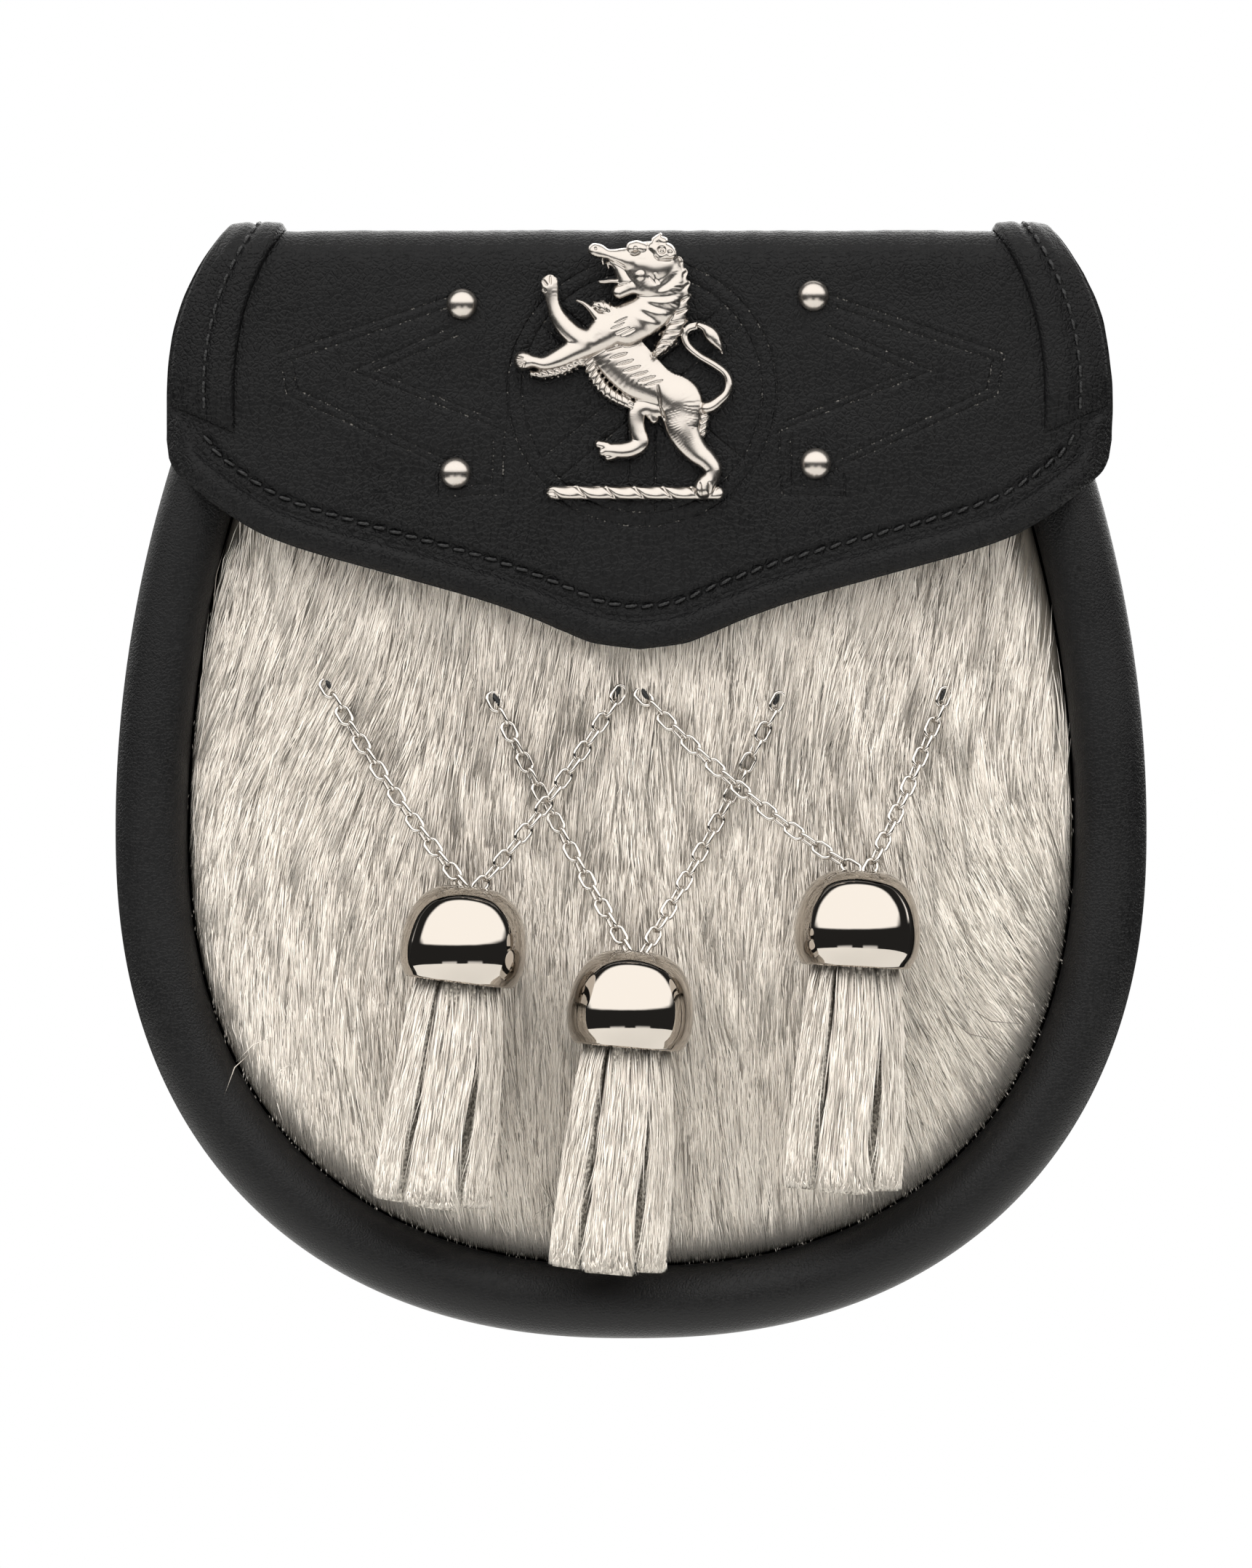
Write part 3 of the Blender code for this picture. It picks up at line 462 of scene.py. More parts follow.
sky.links.new(math_step(sky, "ADD", glow, ROOM_GLOW), room.inputs["Strength"])
paper = step(sky, "ShaderNodeBackground", {"Color": (1, 1, 1, 1), "Strength": 1.0})
seen = step(sky, "ShaderNodeLightPath").outputs["Is Camera Ray"]
both = step(sky, "ShaderNodeMixShader", {0: seen, 1: room.outputs[0], 2: paper.outputs[0]})
sky.links.new(both.outputs[0], sky.nodes["World Output"].inputs["Surface"])


LAMPS_AIM = Vector((0, 0, -70 * MM))


def soft_box(name, place, size, power, mirrored):
    """An area light of so many watts that faces the pouch; mirrored says whether metal shows it."""
    data = bpy.data.lights.new(name, "AREA")
    data.shape = "RECTANGLE"
    data.size, data.size_y = size
    data.energy = power
    lamp = bpy.data.objects.new(name, data)
    away = Vector(place) - LAMPS_AIM
    lamp.matrix_world = Matrix.Translation(place) @ away.to_track_quat("Z", "Y").to_matrix().to_4x4()
    lamp.visible_glossy = mirrored
    bpy.context.scene.collection.objects.link(lamp)


soft_box("upper_left", (-1.0, -1.1, 1.2), (0.7, 0.7), 15, False)
soft_box("behind", (0.3, 1.6, 0.5), (1.2, 1.0), 10, True)

floor_paper = start_material("floor_paper", "#eeeeec", 0.8)[0]
FLOOR_SIDES, FLOOR_RADIUS, FLOOR_DROP = 96, 600 * MM, 300 * MM
turn = circle(FLOOR_SIDES)
disc = stood(FLOOR_RADIUS * np.stack([np.cos(turn), 0 * turn], axis=1), FLOOR_RADIUS * np.sin(turn))
floor = put_mesh("floor", disc - (0, 0, FLOOR_DROP), [np.arange(FLOOR_SIDES)[None, :]], floor_paper)

# %% [markdown]
# ## The pouch's own shapes
# The frame's pieces were worked out from a few sizes. The same sizes and formulas give the fine
# surfaces here, so each dressed piece lies exactly on the solid that it stands for.

# %% Sizes and outline
TOP, POUCH_BOTTOM, POUCH_WIDTH = 30.6 * MM, 171.3 * MM, 188 * MM
WAIST_DROP, MOUTH, MOUTH_TAPER, BOTTOM_FULLNESS = 78.5 * MM, 18 * MM, 21.3 * MM, 2.28
GAP, BACK_THICKNESS, BACK_INSET = 0.3 * MM, 2.5 * MM, 0.8 * MM
GUSSET_WALL, GUSSET_REAR_INSET, RIM_WIDTH, POUCH_DEPTH = 2 * MM, 1.5 * MM, 13.2 * MM, 36.6 * MM
FLAP_THICKNESS, BAND_THICKNESS = 2.2 * MM, 1.2 * MM
PANEL_GAP, PANEL_CROWN, PANEL_EDGE_SETBACK, PANEL_THICKNESS = 0.4 * MM, 5.5 * MM, 6.9 * MM, 3 * MM


def pouch_outline(count, inset=0.0):
    """From mouth to mouth round the bottom: a parabola above the widest level, a full ellipse below."""
    half = POUCH_WIDTH / 2
    up = np.linspace(MOUTH, -WAIST_DROP, 80)
    share = (up + WAIST_DROP) / (MOUTH + WAIST_DROP)
    side = np.stack([half - MOUTH_TAPER * share**2, up], axis=1)
    turn = np.linspace(0, math.pi, 240)[1:-1]
    power = 2 / BOTTOM_FULLNESS
    across = half * np.sign(np.cos(turn)) * np.abs(np.cos(turn)) ** power
    down = -WAIST_DROP - (POUCH_BOTTOM - WAIST_DROP) * np.sin(turn) ** power
    path = np.concatenate((side * (-1, 1), np.stack([-across, down], axis=1), side[::-1]))
    path = evenly_spaced(path, 1200)
    moved = path + leftward(headings(path)) * inset
    moved[0, 1] = moved[-1, 1] = MOUTH
    return evenly_spaced(moved, count)


def close_top(path, count):
    """Closes an outline along its straight top with count more points."""
    across = np.linspace(path[-1, 0], path[0, 0], count + 2)[1:-1]
    return np.concatenate((path, np.stack([across, np.full(count, MOUTH)], axis=1)))


def panel_outline(sides, top):
    """The hide front's edge, closed along its straight top."""
    return close_top(pouch_outline(sides, RIM_WIDTH + PANEL_GAP), top)


PANEL_MIDDLE = np.array([0.0, (MOUTH - POUCH_BOTTOM) / 2])
PANEL_EDGE = panel_outline(300, 60) - PANEL_MIDDLE
EDGE_ANGLE = np.arctan2(PANEL_EDGE[:, 1], PANEL_EDGE[:, 0])
EDGE_ORDER = np.argsort(EDGE_ANGLE)
EDGE_REACH = np.linalg.norm(PANEL_EDGE, axis=1)


def panel_share(points):
    """How far each point lies from the panel's middle towards its edge: 0 to 1, and above 1 outside."""
    offset = points - PANEL_MIDDLE
    at = np.arctan2(offset[..., 1], offset[..., 0])
    limit = np.interp(at, EDGE_ANGLE[EDGE_ORDER], EDGE_REACH[EDGE_ORDER], period=2 * math.pi)
    return np.linalg.norm(offset, axis=-1) / limit


def hide_depth(points):
    """The y of the hide: a crown that falls to the rims, with slow ripples where locks lie together."""
    share = np.clip(panel_share(points), 0, 1)
    crown = POUCH_DEPTH - PANEL_EDGE_SETBACK + PANEL_CROWN * (1 - share**2.2)
    across, up = points[..., 0], points[..., 1]
    ripple = wander(across, up * 0.35, 13 * MM, 3) + 0.5 * wander(across, up * 0.3, 6 * MM, 4)
    return -(crown + 0.35 * MM * ripple * (1 - share**6))


print("hide's crown lies", round(-float(hide_depth(PANEL_MIDDLE)) / MM, 1), "mm from the back")

# %% [markdown]
# ## Gusset and back
# The gusset is one strip of leather: a deep wall whose front edge is rolled over into the fat rim.
# A section carried round the outline makes it. The roll is not perfectly even on the real pouch, so
# its radius wanders a little, and the wall sinks slightly between the two edges that hold it.

# %% Gusset and back panel
def gusset_section(fine):
    """The section as (inset, y): up the wall outside, round the roll, and back down the inside."""
    roll, back = RIM_WIDTH / 2, FLAP_THICKNESS + GAP + BACK_THICKNESS + GAP
    middle = POUCH_DEPTH - roll
    wall = np.linspace(0, 1, fine)[:-1]
    sink = 0.5 * MM * np.sin(math.pi * wall)
    outside = np.stack([GUSSET_REAR_INSET * (1 - wall) ** 2 + sink, -(back + (middle - back) * wall)], axis=1)
    over = np.radians(np.linspace(180, 0, 3 * fine))
    front = np.stack([roll + roll * np.cos(over), -(middle + roll * np.sin(over))], axis=1)
    under = over[::-1]
    inside = roll - GUSSET_WALL
    hidden = np.stack([roll + inside * np.cos(under), -(middle + inside * np.sin(under))], axis=1)
    inner = outside[::-1] + (GUSSET_WALL, 0)
    return np.concatenate((outside, front, hidden, inner))


def carry_round(section, count):
    """Carries a section of (inset, y) round the pouch's outline: rings of points."""
    low, high = pouch_outline(count, 0.0), pouch_outline(count, 10 * MM)
    inward = (high - low) / (10 * MM)
    places = low[:, None, :] + inward[:, None, :] * section[None, :, 0, None]
    return stood(places, section[None, :, 1])


ROLL_START = 24 * MM
gusset_rings = carry_round(gusset_section(8), 280)
uneven = wander(gusset_rings[:, :1, 0], gusset_rings[:, :1, 2], 34 * MM, 8) * 0.18 * MM
gusset_rings[..., 1] += uneven * (gusset_rings[..., 1] < -ROLL_START)
gusset = face_out(put_mesh("gusset_leather", *tube(gusset_rings), rim_leather))
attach(gusset, "root")
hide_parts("gusset")


def back_rings(count):
    """The back's cut edge, as rings shrunk to its middle on both faces: rows of share and depth."""
    edge = close_top(pouch_outline(count, BACK_INSET), 60)
    rear, front = -(FLAP_THICKNESS + GAP), -(FLAP_THICKNESS + GAP + BACK_THICKNESS)
    soft, inner = 0.6 * MM, 1 - 6.667e-6
    rows = ((0.02, rear), (0.5, rear), (0.93, rear), (0.985, rear), (inner, rear - soft * 0.2),
            (1.0, rear - soft), (1.0, front + soft), (inner, front), (0.93, front), (0.02, front))
    return [stood(PANEL_MIDDLE + (edge - PANEL_MIDDLE) * share, depth) for share, depth in rows]


back = face_out(put_mesh("back_leather", *tube(back_rings(220)), rim_leather))
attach(back, "root")
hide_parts("back_panel")
print("gusset faces", len(gusset.data.polygons), "back faces", len(back.data.polygons))

# %% [markdown]
# ## The flap
# One side of thick calf leather is sewn to the back, goes over the top and down the front. Its lower
# edge is turned over a cord into a round bead, a sewn line runs inside it, and a pattern was pressed
# into the damp leather with a heated tool: rings behind the badge, a diagonal cross in them, and an
# open pointed frame on each side. All of these are heights added along the surface's normals, where
# each height depends on the distance to a line.

# %% Flap surface
FLAP_WIDTH, FLAP_TOP_WIDTH, FLAP_SHIFT, FLAP_WIDEST_DROP = 172 * MM, 151 * MM, 1.5 * MM, 1.7 * MM
FLAP_LENGTH, FLAP_LEG, FLAP_CORNER, FLAP_CLEARANCE = 76.4 * MM, 28 * MM, 8 * MM, 0.5 * MM
FLAP_BULGE, FLAP_SIDE_CURL, FLAP_SIDE_CURL_WIDTH = 1.8 * MM, 4 * MM, 12 * MM
BEAD_WIDTH, BEAD_HEIGHT, BAND_WIDTH, BAND_EDGE = 5.2 * MM, 1.8 * MM, 11.6 * MM, 0.9 * MM
BAND_BEAD_GAP, BAND_FOOT_SLANT = 0.9 * MM, 5 * MM
SIDES = ((-1, "left"), (1, "right"))
FLAP_EDGE_ANGLES = (0.0, 5.3, 9.4, 12.4, 19.0, 30.0, 52.2, 56.8, 65.1, 72.4, 79.4, 90.0)
FLAP_EDGE_LENGTHS = (1.0, 0.986, 0.956, 0.931, 0.886, 0.830, 0.730, 0.702, 0.647, 0.604, 0.571, 0.501)


def flap_half_width(up):
    """Half the flap's width at a height: widest a little under the strap line, narrower over the top."""
    above = np.clip(up + FLAP_WIDEST_DROP, 0, None) / (TOP + FLAP_WIDEST_DROP)
    return FLAP_WIDTH / 2 - (FLAP_WIDTH - FLAP_TOP_WIDTH) / 2 * above**2.5


def flap_edge(angle):
    """The height of the lower edge at an angle across, whose sine is the share of the half width."""
    return TOP - FLAP_LENGTH * smooth_table(FLAP_EDGE_ANGLES, FLAP_EDGE_LENGTHS, np.abs(np.degrees(angle)))


def flap_front(up):
    """The y of the outer face below its front corner: it swells a little in the middle."""
    middle, reach = (TOP - FLAP_CORNER + TOP - FLAP_LENGTH) / 2, (FLAP_LENGTH - FLAP_CORNER) / 2
    swell = np.clip(1 - ((up - middle) / reach) ** 2, 0, 1)
    return -(POUCH_DEPTH + FLAP_CLEARANCE + FLAP_THICKNESS + FLAP_BULGE * swell)


def flap_seat(up, reach):
    """The foremost y of the flap over a height and so far above and below it, less the gap."""
    levels = up + reach * np.linspace(-1, 1, 5)
    return float(np.min(flap_front(np.minimum(levels, TOP - FLAP_CORNER)))) - GAP


def curl_share(across, half):
    """How far a place is into the curled end: 0 inside it, 1 at the flap's edge."""
    return np.clip((np.abs(across) - (half - FLAP_SIDE_CURL_WIDTH)) / FLAP_SIDE_CURL_WIDTH, 0, 1)


def flap_surface(angles, front_up, rear_rows, corner_rows):
    """The outer face as a grid, up the rear leg, over the top and down the front, with its normals."""
    turn = np.radians(np.linspace(0, 90, corner_rows))
    rear_up = np.linspace(-FLAP_LEG, TOP - FLAP_CORNER, rear_rows + 1)[:-1]
    top_front = flap_front(TOP - FLAP_CORNER)
    roof = np.linspace(-FLAP_CORNER, top_front + FLAP_CORNER, 14)[1:-1]
    depth = np.concatenate((0 * rear_up, -FLAP_CORNER * (1 - np.cos(turn)), roof,
                            top_front + FLAP_CORNER * (1 - np.sin(turn))))
    up = np.concatenate((rear_up, TOP - FLAP_CORNER * (1 - np.sin(turn)), np.full(len(roof), TOP),
                         TOP - FLAP_CORNER * (1 - np.cos(turn))))
    depth = np.concatenate((np.repeat(depth[:, None], len(angles), 1), flap_front(front_up)))
    up = np.concatenate((np.repeat(up[:, None], len(angles), 1), front_up))
    half = flap_half_width(up)
    half[:rear_rows + corner_rows] = FLAP_TOP_WIDTH / 2
    across = half * np.sin(angles)
    depth = depth + FLAP_SIDE_CURL * curl_share(across, half) ** 2 * np.clip(depth / top_front, 0, 1)
    grid = np.stack([across + FLAP_SHIFT, depth, up], axis=-1)
    return grid, unit(np.cross(directions(grid, 0), directions(grid, 1)))


EDGE_TURN = np.linspace(-math.pi / 2, math.pi / 2, 241)
FLAP_EDGE_LINE = np.stack([FLAP_SHIFT + flap_half_width(flap_edge(EDGE_TURN)) * np.sin(EDGE_TURN),
                           flap_edge(EDGE_TURN)], axis=-1)


def line_distance(points, line):
    """The distance from each (across, up) point to an open chain of straight runs."""
    best = np.full(points.shape[:-1], np.inf)
    for start, end in zip(line[:-1], line[1:]):
        run = np.asarray(end) - start
        t = np.clip(((points - start) @ run) / (run @ run), 0, 1)
        best = np.minimum(best, np.linalg.norm(points - (start + t[..., None] * run), axis=-1))
    return best


# %% [markdown]
# The tooled pattern is drawn in millimetres on the flap's front. The side frames are drawn for the
# right side and mirrored about the rings' middle. Two runs of lines a tool's width apart give each
# frame its double edge.

# %% Tooled pattern
RINGS_MIDDLE = np.array([2.0, 0.9]) * MM
RING_RADII = (24.4 * MM, 21.8 * MM)
SIDE_FRAME = (
    ((26.9, -6.2), (54.5, 4.7), (36.1, 12.9)),
    ((28.6, -4.3), (50.6, 4.6), (35.4, 11.2)),
    ((35.5, -13.8), (66.5, 0.3), (67.9, 7.8), (36.7, 18.3)),
    ((37.0, -11.8), (64.6, 1.3), (65.7, 6.7), (37.4, 16.2)),
    ((26.9, -6.2), (27.4, -17.7), (38.8, -18.1), (38.8, -14.0)),
    ((28.9, -7.2), (29.3, -15.9), (36.9, -16.2)),
)
CROSS_WIDTH = 2.4 * MM
TOOL_TURNS = (40, 140, 90)
TOOL_HALF_WIDTH = 0.5 * MM
TOOL_DEPTH = 0.2 * MM
FRONT_DEPTH = POUCH_DEPTH * 0.9


def groove(distance, half_width, depth):
    """A pressed line: a round furrow with a low raised lip on each side."""
    t = distance / half_width
    return -depth * np.exp(-t**2) + 0.16 * depth * np.exp(-((t - 1.9) / 0.7) ** 2)


def tooling(points):
    """The height of the pressed pattern at each (across, up) point."""
    from_middle = points - RINGS_MIDDLE
    radius = np.linalg.norm(from_middle, axis=-1)
    height = sum(groove(np.abs(radius - ring), TOOL_HALF_WIDTH, TOOL_DEPTH) for ring in RING_RADII)
    inside = np.clip((RING_RADII[1] - radius) / MM, 0, 1)
    for turn in TOOL_TURNS:
        normal = np.array([-math.sin(math.radians(turn)), math.cos(math.radians(turn))])
        offset = np.abs(from_middle @ normal)
        height = height + inside * groove(np.abs(offset - CROSS_WIDTH), TOOL_HALF_WIDTH, TOOL_DEPTH)
    for line in SIDE_FRAME:
        for side in (-1, 1):
            corner = np.array(line) * MM
            corner[:, 0] = RINGS_MIDDLE[0] + side * (corner[:, 0] - RINGS_MIDDLE[0])
            height = height + groove(line_distance(points, corner), TOOL_HALF_WIDTH, TOOL_DEPTH * 0.8)
    return height


# %% [markdown]
# The tool's edge leaves a line finer than the mesh can carry, so the same lines are also worked out in
# the leather's material, as a distance from the object's own coordinates. The distance is roughened a
# little, because the leather has relaxed and the lines have broken up. Both halves are one pattern, so
# places on the left are folded onto the right before anything is measured.

# %% Fine pressed lines
def pressed_lines(tree, place):
    """The height of the fine lines, 1 on the leather and 0 in a line, worked out from places by nodes."""
    low = 0.1  # lifts all places above 0, so that ABSOLUTE only folds left onto right
    flat = vector_step(tree, "MULTIPLY", place, (1, 0, 1))
    moved = vector_step(tree, "SUBTRACT", flat, (RINGS_MIDDLE[0], 0, -low))
    folded = vector_step(tree, "ABSOLUTE", moved)
    from_middle = vector_step(tree, "SUBTRACT", folded, (0, 0, RINGS_MIDDLE[1] + low))
    radius = vector_step(tree, "LENGTH", from_middle)
    outside = math_step(tree, "SUBTRACT", radius, RING_RADII[1])
    rings = [math_step(tree, "ABSOLUTE", math_step(tree, "SUBTRACT", radius, ring)) for ring in RING_RADII]
    nearest = math_step(tree, "MINIMUM", *rings)
    for turn in TOOL_TURNS:
        normal = (-math.sin(math.radians(turn)), 0, math.cos(math.radians(turn)))
        across = math_step(tree, "ABSOLUTE", vector_step(tree, "DOT_PRODUCT", from_middle, normal))
        gap = math_step(tree, "ABSOLUTE", math_step(tree, "SUBTRACT", across, CROSS_WIDTH))
        nearest = math_step(tree, "MINIMUM", nearest, math_step(tree, "MAXIMUM", gap, outside))
    for line in SIDE_FRAME:
        for start, end in zip(line[:-1], line[1:]):
            start = Vector((start[0] * MM - RINGS_MIDDLE[0], 0, start[1] * MM + low))
            run = Vector((end[0] * MM - RINGS_MIDDLE[0], 0, end[1] * MM + low)) - start
            offset = vector_step(tree, "SUBTRACT", folded, start)
            share = vector_step(tree, "DOT_PRODUCT", offset, run / run.length_squared)
            held = step(tree, "ShaderNodeClamp", {"Value": share}).outputs[0]
            away = vector_step(tree, "DISTANCE", offset, vector_step(tree, "SCALE", run, held))
            nearest = math_step(tree, "MINIMUM", nearest, away)
    rough = math_step(tree, "MULTIPLY", noise(tree, place, 900.0, 3.0), 0.45 * MM)
    line = fade(tree, math_step(tree, "ADD", nearest, rough), 0.2 * MM, 0.55 * MM)
    front = step(tree, "ShaderNodeSeparateXYZ", {0: place}).outputs["Y"]
    return math_step(tree, "MAXIMUM", line, math_step(tree, "GREATER_THAN", front, -FRONT_DEPTH))


flap_leather = leather("tooled_calf_leather", 1.0 * MM, 0.22 * MM, 0.42, 0.2, pressed_lines)
band_leather = leather("band_calf_leather", 1.0 * MM, 0.22 * MM, 0.42, 0.2)
print("lines pressed on each side:", sum(len(line) - 1 for line in SIDE_FRAME))

# %% [markdown]
# The sewn line follows the lower edge at a fixed distance, so it is found by moving the edge inwards,
# and it turns up beside each band at the flap's ends. A shallow trough runs under the stitches.

# %% Sewn line and the flap's solid
STITCH_INSET, STITCH_PITCH = 7.6 * MM, 2.9 * MM


def sewn_line(count):
    """The lower edge moved inwards and up, as (across, up) points at even distances."""
    moved = FLAP_EDGE_LINE + leftward(headings(FLAP_EDGE_LINE)) * STITCH_INSET
    keep = np.abs(moved[:, 0] - FLAP_SHIFT) < FLAP_WIDTH / 2 - STITCH_INSET
    return evenly_spaced(moved[keep], count)


SEWN = sewn_line(160)


def flap_relief(grid):
    """The height added to the outer face: bead, trough, tooling, and slow dents of soft leather."""
    point = grid[..., (0, 2)]
    front = grid[..., 1] < -FRONT_DEPTH
    edge = line_distance(point, FLAP_EDGE_LINE[::3])
    from_end = flap_half_width(point[..., 1]) - np.abs(point[..., 0] - FLAP_SHIFT)
    round_bead = np.sqrt(np.clip(1 - (2 * np.clip(edge / BEAD_WIDTH, 0, 1) - 1) ** 2, 0, 1))
    bead = BEAD_HEIGHT * round_bead * np.clip(from_end / (1.1 * BEAD_WIDTH), 0, 1)
    trough = groove(line_distance(point, SEWN[::4]), 0.8 * MM, 0.38 * MM)
    clear = np.clip((edge - BEAD_WIDTH) / MM, 0, 1)
    dents = 0.16 * MM * wander(point[..., 0], point[..., 1], 22 * MM, 12)
    creases = 0.05 * MM * wander(point[..., 0], point[..., 1], 5 * MM, 13)
    return np.where(front, bead + (trough + tooling(point)) * clear, 0) + dents + creases


COARSE = 4
flap_columns = np.arcsin(np.linspace(-1, 1, 80 * COARSE + 1))
flap_columns = 0.5 * flap_columns + 0.5 * np.arcsin(np.linspace(-1, 1, len(flap_columns)))
bead_rows = BEAD_WIDTH * 1.1 * np.linspace(1, 0, 17)
edge_up = flap_edge(flap_columns)
near_edge = edge_up[None, :] + bead_rows[:, None]
start = TOP - FLAP_CORNER
field_rows = start + (near_edge[0] - start) * np.linspace(0, 1, 160)[1:-1, None]
flap_grid, flap_normal = flap_surface(flap_columns, np.concatenate((field_rows, near_edge)), 10, 10)
flap_outer = flap_grid + flap_normal * flap_relief(flap_grid)[..., None]
flap_inner = (flap_grid - flap_normal * FLAP_THICKNESS)[::COARSE, ::COARSE]


def coarse_backed(front, rear, ratio):
    """A sheet whose rear grid is coarser: each long edge of the rim takes several front points."""
    rows, columns = front.shape[:2]
    fine = np.arange(rows * columns).reshape(rows, columns)
    rear_rows, rear_columns = rear.shape[:2]
    base = rows * columns
    back = base + np.arange(rear_rows * rear_columns).reshape(rear_rows, rear_columns)
    outer, inner = grid_rim(fine), grid_rim(back)
    spans = outer.reshape(-1, ratio)
    closing = np.roll(outer, -ratio).reshape(-1, ratio)[:, :1]
    edge = np.concatenate((closing, spans[:, ::-1], inner[:, None], np.roll(inner, -1)[:, None]), axis=1)
    faces = [grid_quads(rows, columns), grid_quads(rear_rows, rear_columns, base)[:, ::-1], edge[:, ::-1]]
    return np.concatenate((front.reshape(-1, 3), rear.reshape(-1, 3))), faces


flap = face_out(put_mesh("flap_leather", *coarse_backed(flap_outer, flap_inner, COARSE), flap_leather))
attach(flap, "root")
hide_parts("flap")
print("flap faces", len(flap.data.polygons))

# %% [markdown]
# ## Side bands
# A strip of the same leather is laid over each end of the flap and sewn through. It is the flap's own
# surface lifted by its thickness, with rounded long edges.

# %% Side bands
def band_solid(side):
    """A band as a closed sheet on the flap's face, its top face dropping to the flap at both edges."""
    share = np.linspace(0, 1, 25)
    angles = side * np.arcsin(1 - (BAND_EDGE + BAND_WIDTH * share) / (FLAP_WIDTH / 2))
    foot = flap_edge(math.pi / 2) + BEAD_WIDTH + BAND_BEAD_GAP - BAND_FOOT_SLANT * share
    if side > 0:
        angles, foot, share = angles[::-1], foot[::-1], share[::-1]
    front_up = start + (foot - start) * np.linspace(0, 1, 60)[1:, None]
    grid, normal = flap_surface(angles, front_up, 24, 12)
    across = np.minimum(share, 1 - share) * BAND_WIDTH
    round_edge = np.sqrt(np.clip(1 - (1 - np.clip(across / (0.9 * MM), 0, 1)) ** 2, 0, 1))
    swell = 0.25 * MM * np.sin(math.pi * share) + 0.1 * MM * wander(grid[..., 0], grid[..., 2], 14 * MM, 21)
    sewn = groove(BAND_WIDTH / 2 - across, 1.1 * MM, 0.45 * MM)
    to_foot = np.clip((grid[..., 2] - grid[-1, :, 2]) / (6 * MM), 0, 1) ** 0.7
    height = 0.14 * MM + (BAND_THICKNESS * round_edge + swell * round_edge + sewn) * to_foot
    return grid + normal * height[..., None], grid + normal * 0.12 * MM, normal


for side, word in SIDES:
    high, low, _ = band_solid(side)
    band = face_out(put_mesh(f"flap_band_{word}", *sheet(high, low), band_leather))
    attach(band, "root")
    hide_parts(f"flap_side_band_{word}")
    print(word, "band faces", len(band.data.polygons))

# %% [markdown]
# ## Stitches
# Each stitch is a short fat grain of waxed thread that dips into its holes at both ends. One grain's
# shape is worked out once and set along the sewn lines as whole arrays.

# %% Stitches
def stitches(name, places, along, out, length, width):
    """Grains of thread: an ellipse along the seam whose ends sink into the leather."""
    share = np.array([-1.0, -0.72, 0.0, 0.72, 1.0])[:, None]
    thick = np.array([0.35, 0.9, 1.0, 0.9, 0.35])[:, None] * width / 2
    turn = circle(6)
    grain = np.stack([np.cos(turn) * thick, np.sin(turn) * thick - 0.42 * width * share**4,
                      np.broadcast_to(share * length / 2, (5, 6))], axis=-1)
    one, groups = tube(grain)
    frames = np.stack([unit(np.cross(out, along)), out, along], axis=1)
    points = (places[:, None] + one @ frames).reshape(-1, 3)
    piece = put_mesh(name, points, [repeated(group, len(places), len(one)) for group in groups], waxed_thread)
    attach(piece, "root")


def flap_place(line):
    """The outer face under (across, up) points of the front, with its normal."""
    across, up = line.T
    curl = curl_share(across - FLAP_SHIFT, flap_half_width(up))
    lean = 2 * FLAP_SIDE_CURL * curl / FLAP_SIDE_CURL_WIDTH * np.sign(across)
    return (stood(line, flap_front(up) + FLAP_SIDE_CURL * curl**2),
            unit(np.stack([lean, -np.ones_like(up), 0 * up], axis=1)))


seam, seam_out = flap_place(evenly_spaced(SEWN, int(lengths_along(SEWN)[-1] / STITCH_PITCH)))
SEAM_SLANT = 0.16
seam_along = headings(seam)
seam_along = unit(seam_along + SEAM_SLANT * np.cross(seam_out, seam_along))
stitches("edge_stitches", seam + seam_out * 0.12 * MM, seam_along, seam_out, 2.5 * MM, 0.75 * MM)

BAND_SEAM_COLUMN = 13
for side, word in SIDES:
    high, _, normal = band_solid(side)
    path, out = high[:, BAND_SEAM_COLUMN], normal[:, BAND_SEAM_COLUMN]
    along = lengths_along(path)
    wanted = np.arange(STITCH_PITCH, along[-1] - STITCH_PITCH / 2, STITCH_PITCH)
    place, out = read_along(path, along, wanted), read_along(out, along, wanted)
    stitches(f"band_stitches_{word}", place + out * 0.15 * MM, headings(place), unit(out), 2.4 * MM, 0.8 * MM)
print("edge stitches", len(seam))

# %% [markdown]
# ## The cast badge
# The lion was cast in one piece with the twisted bar under its feet. Each form is a stroke along its
# middle line, round across, and stands a little higher the nearer it is to the viewer, so that near
# limbs overlap far ones with a crisp edge. Coordinates are hundredths of the casting's height.

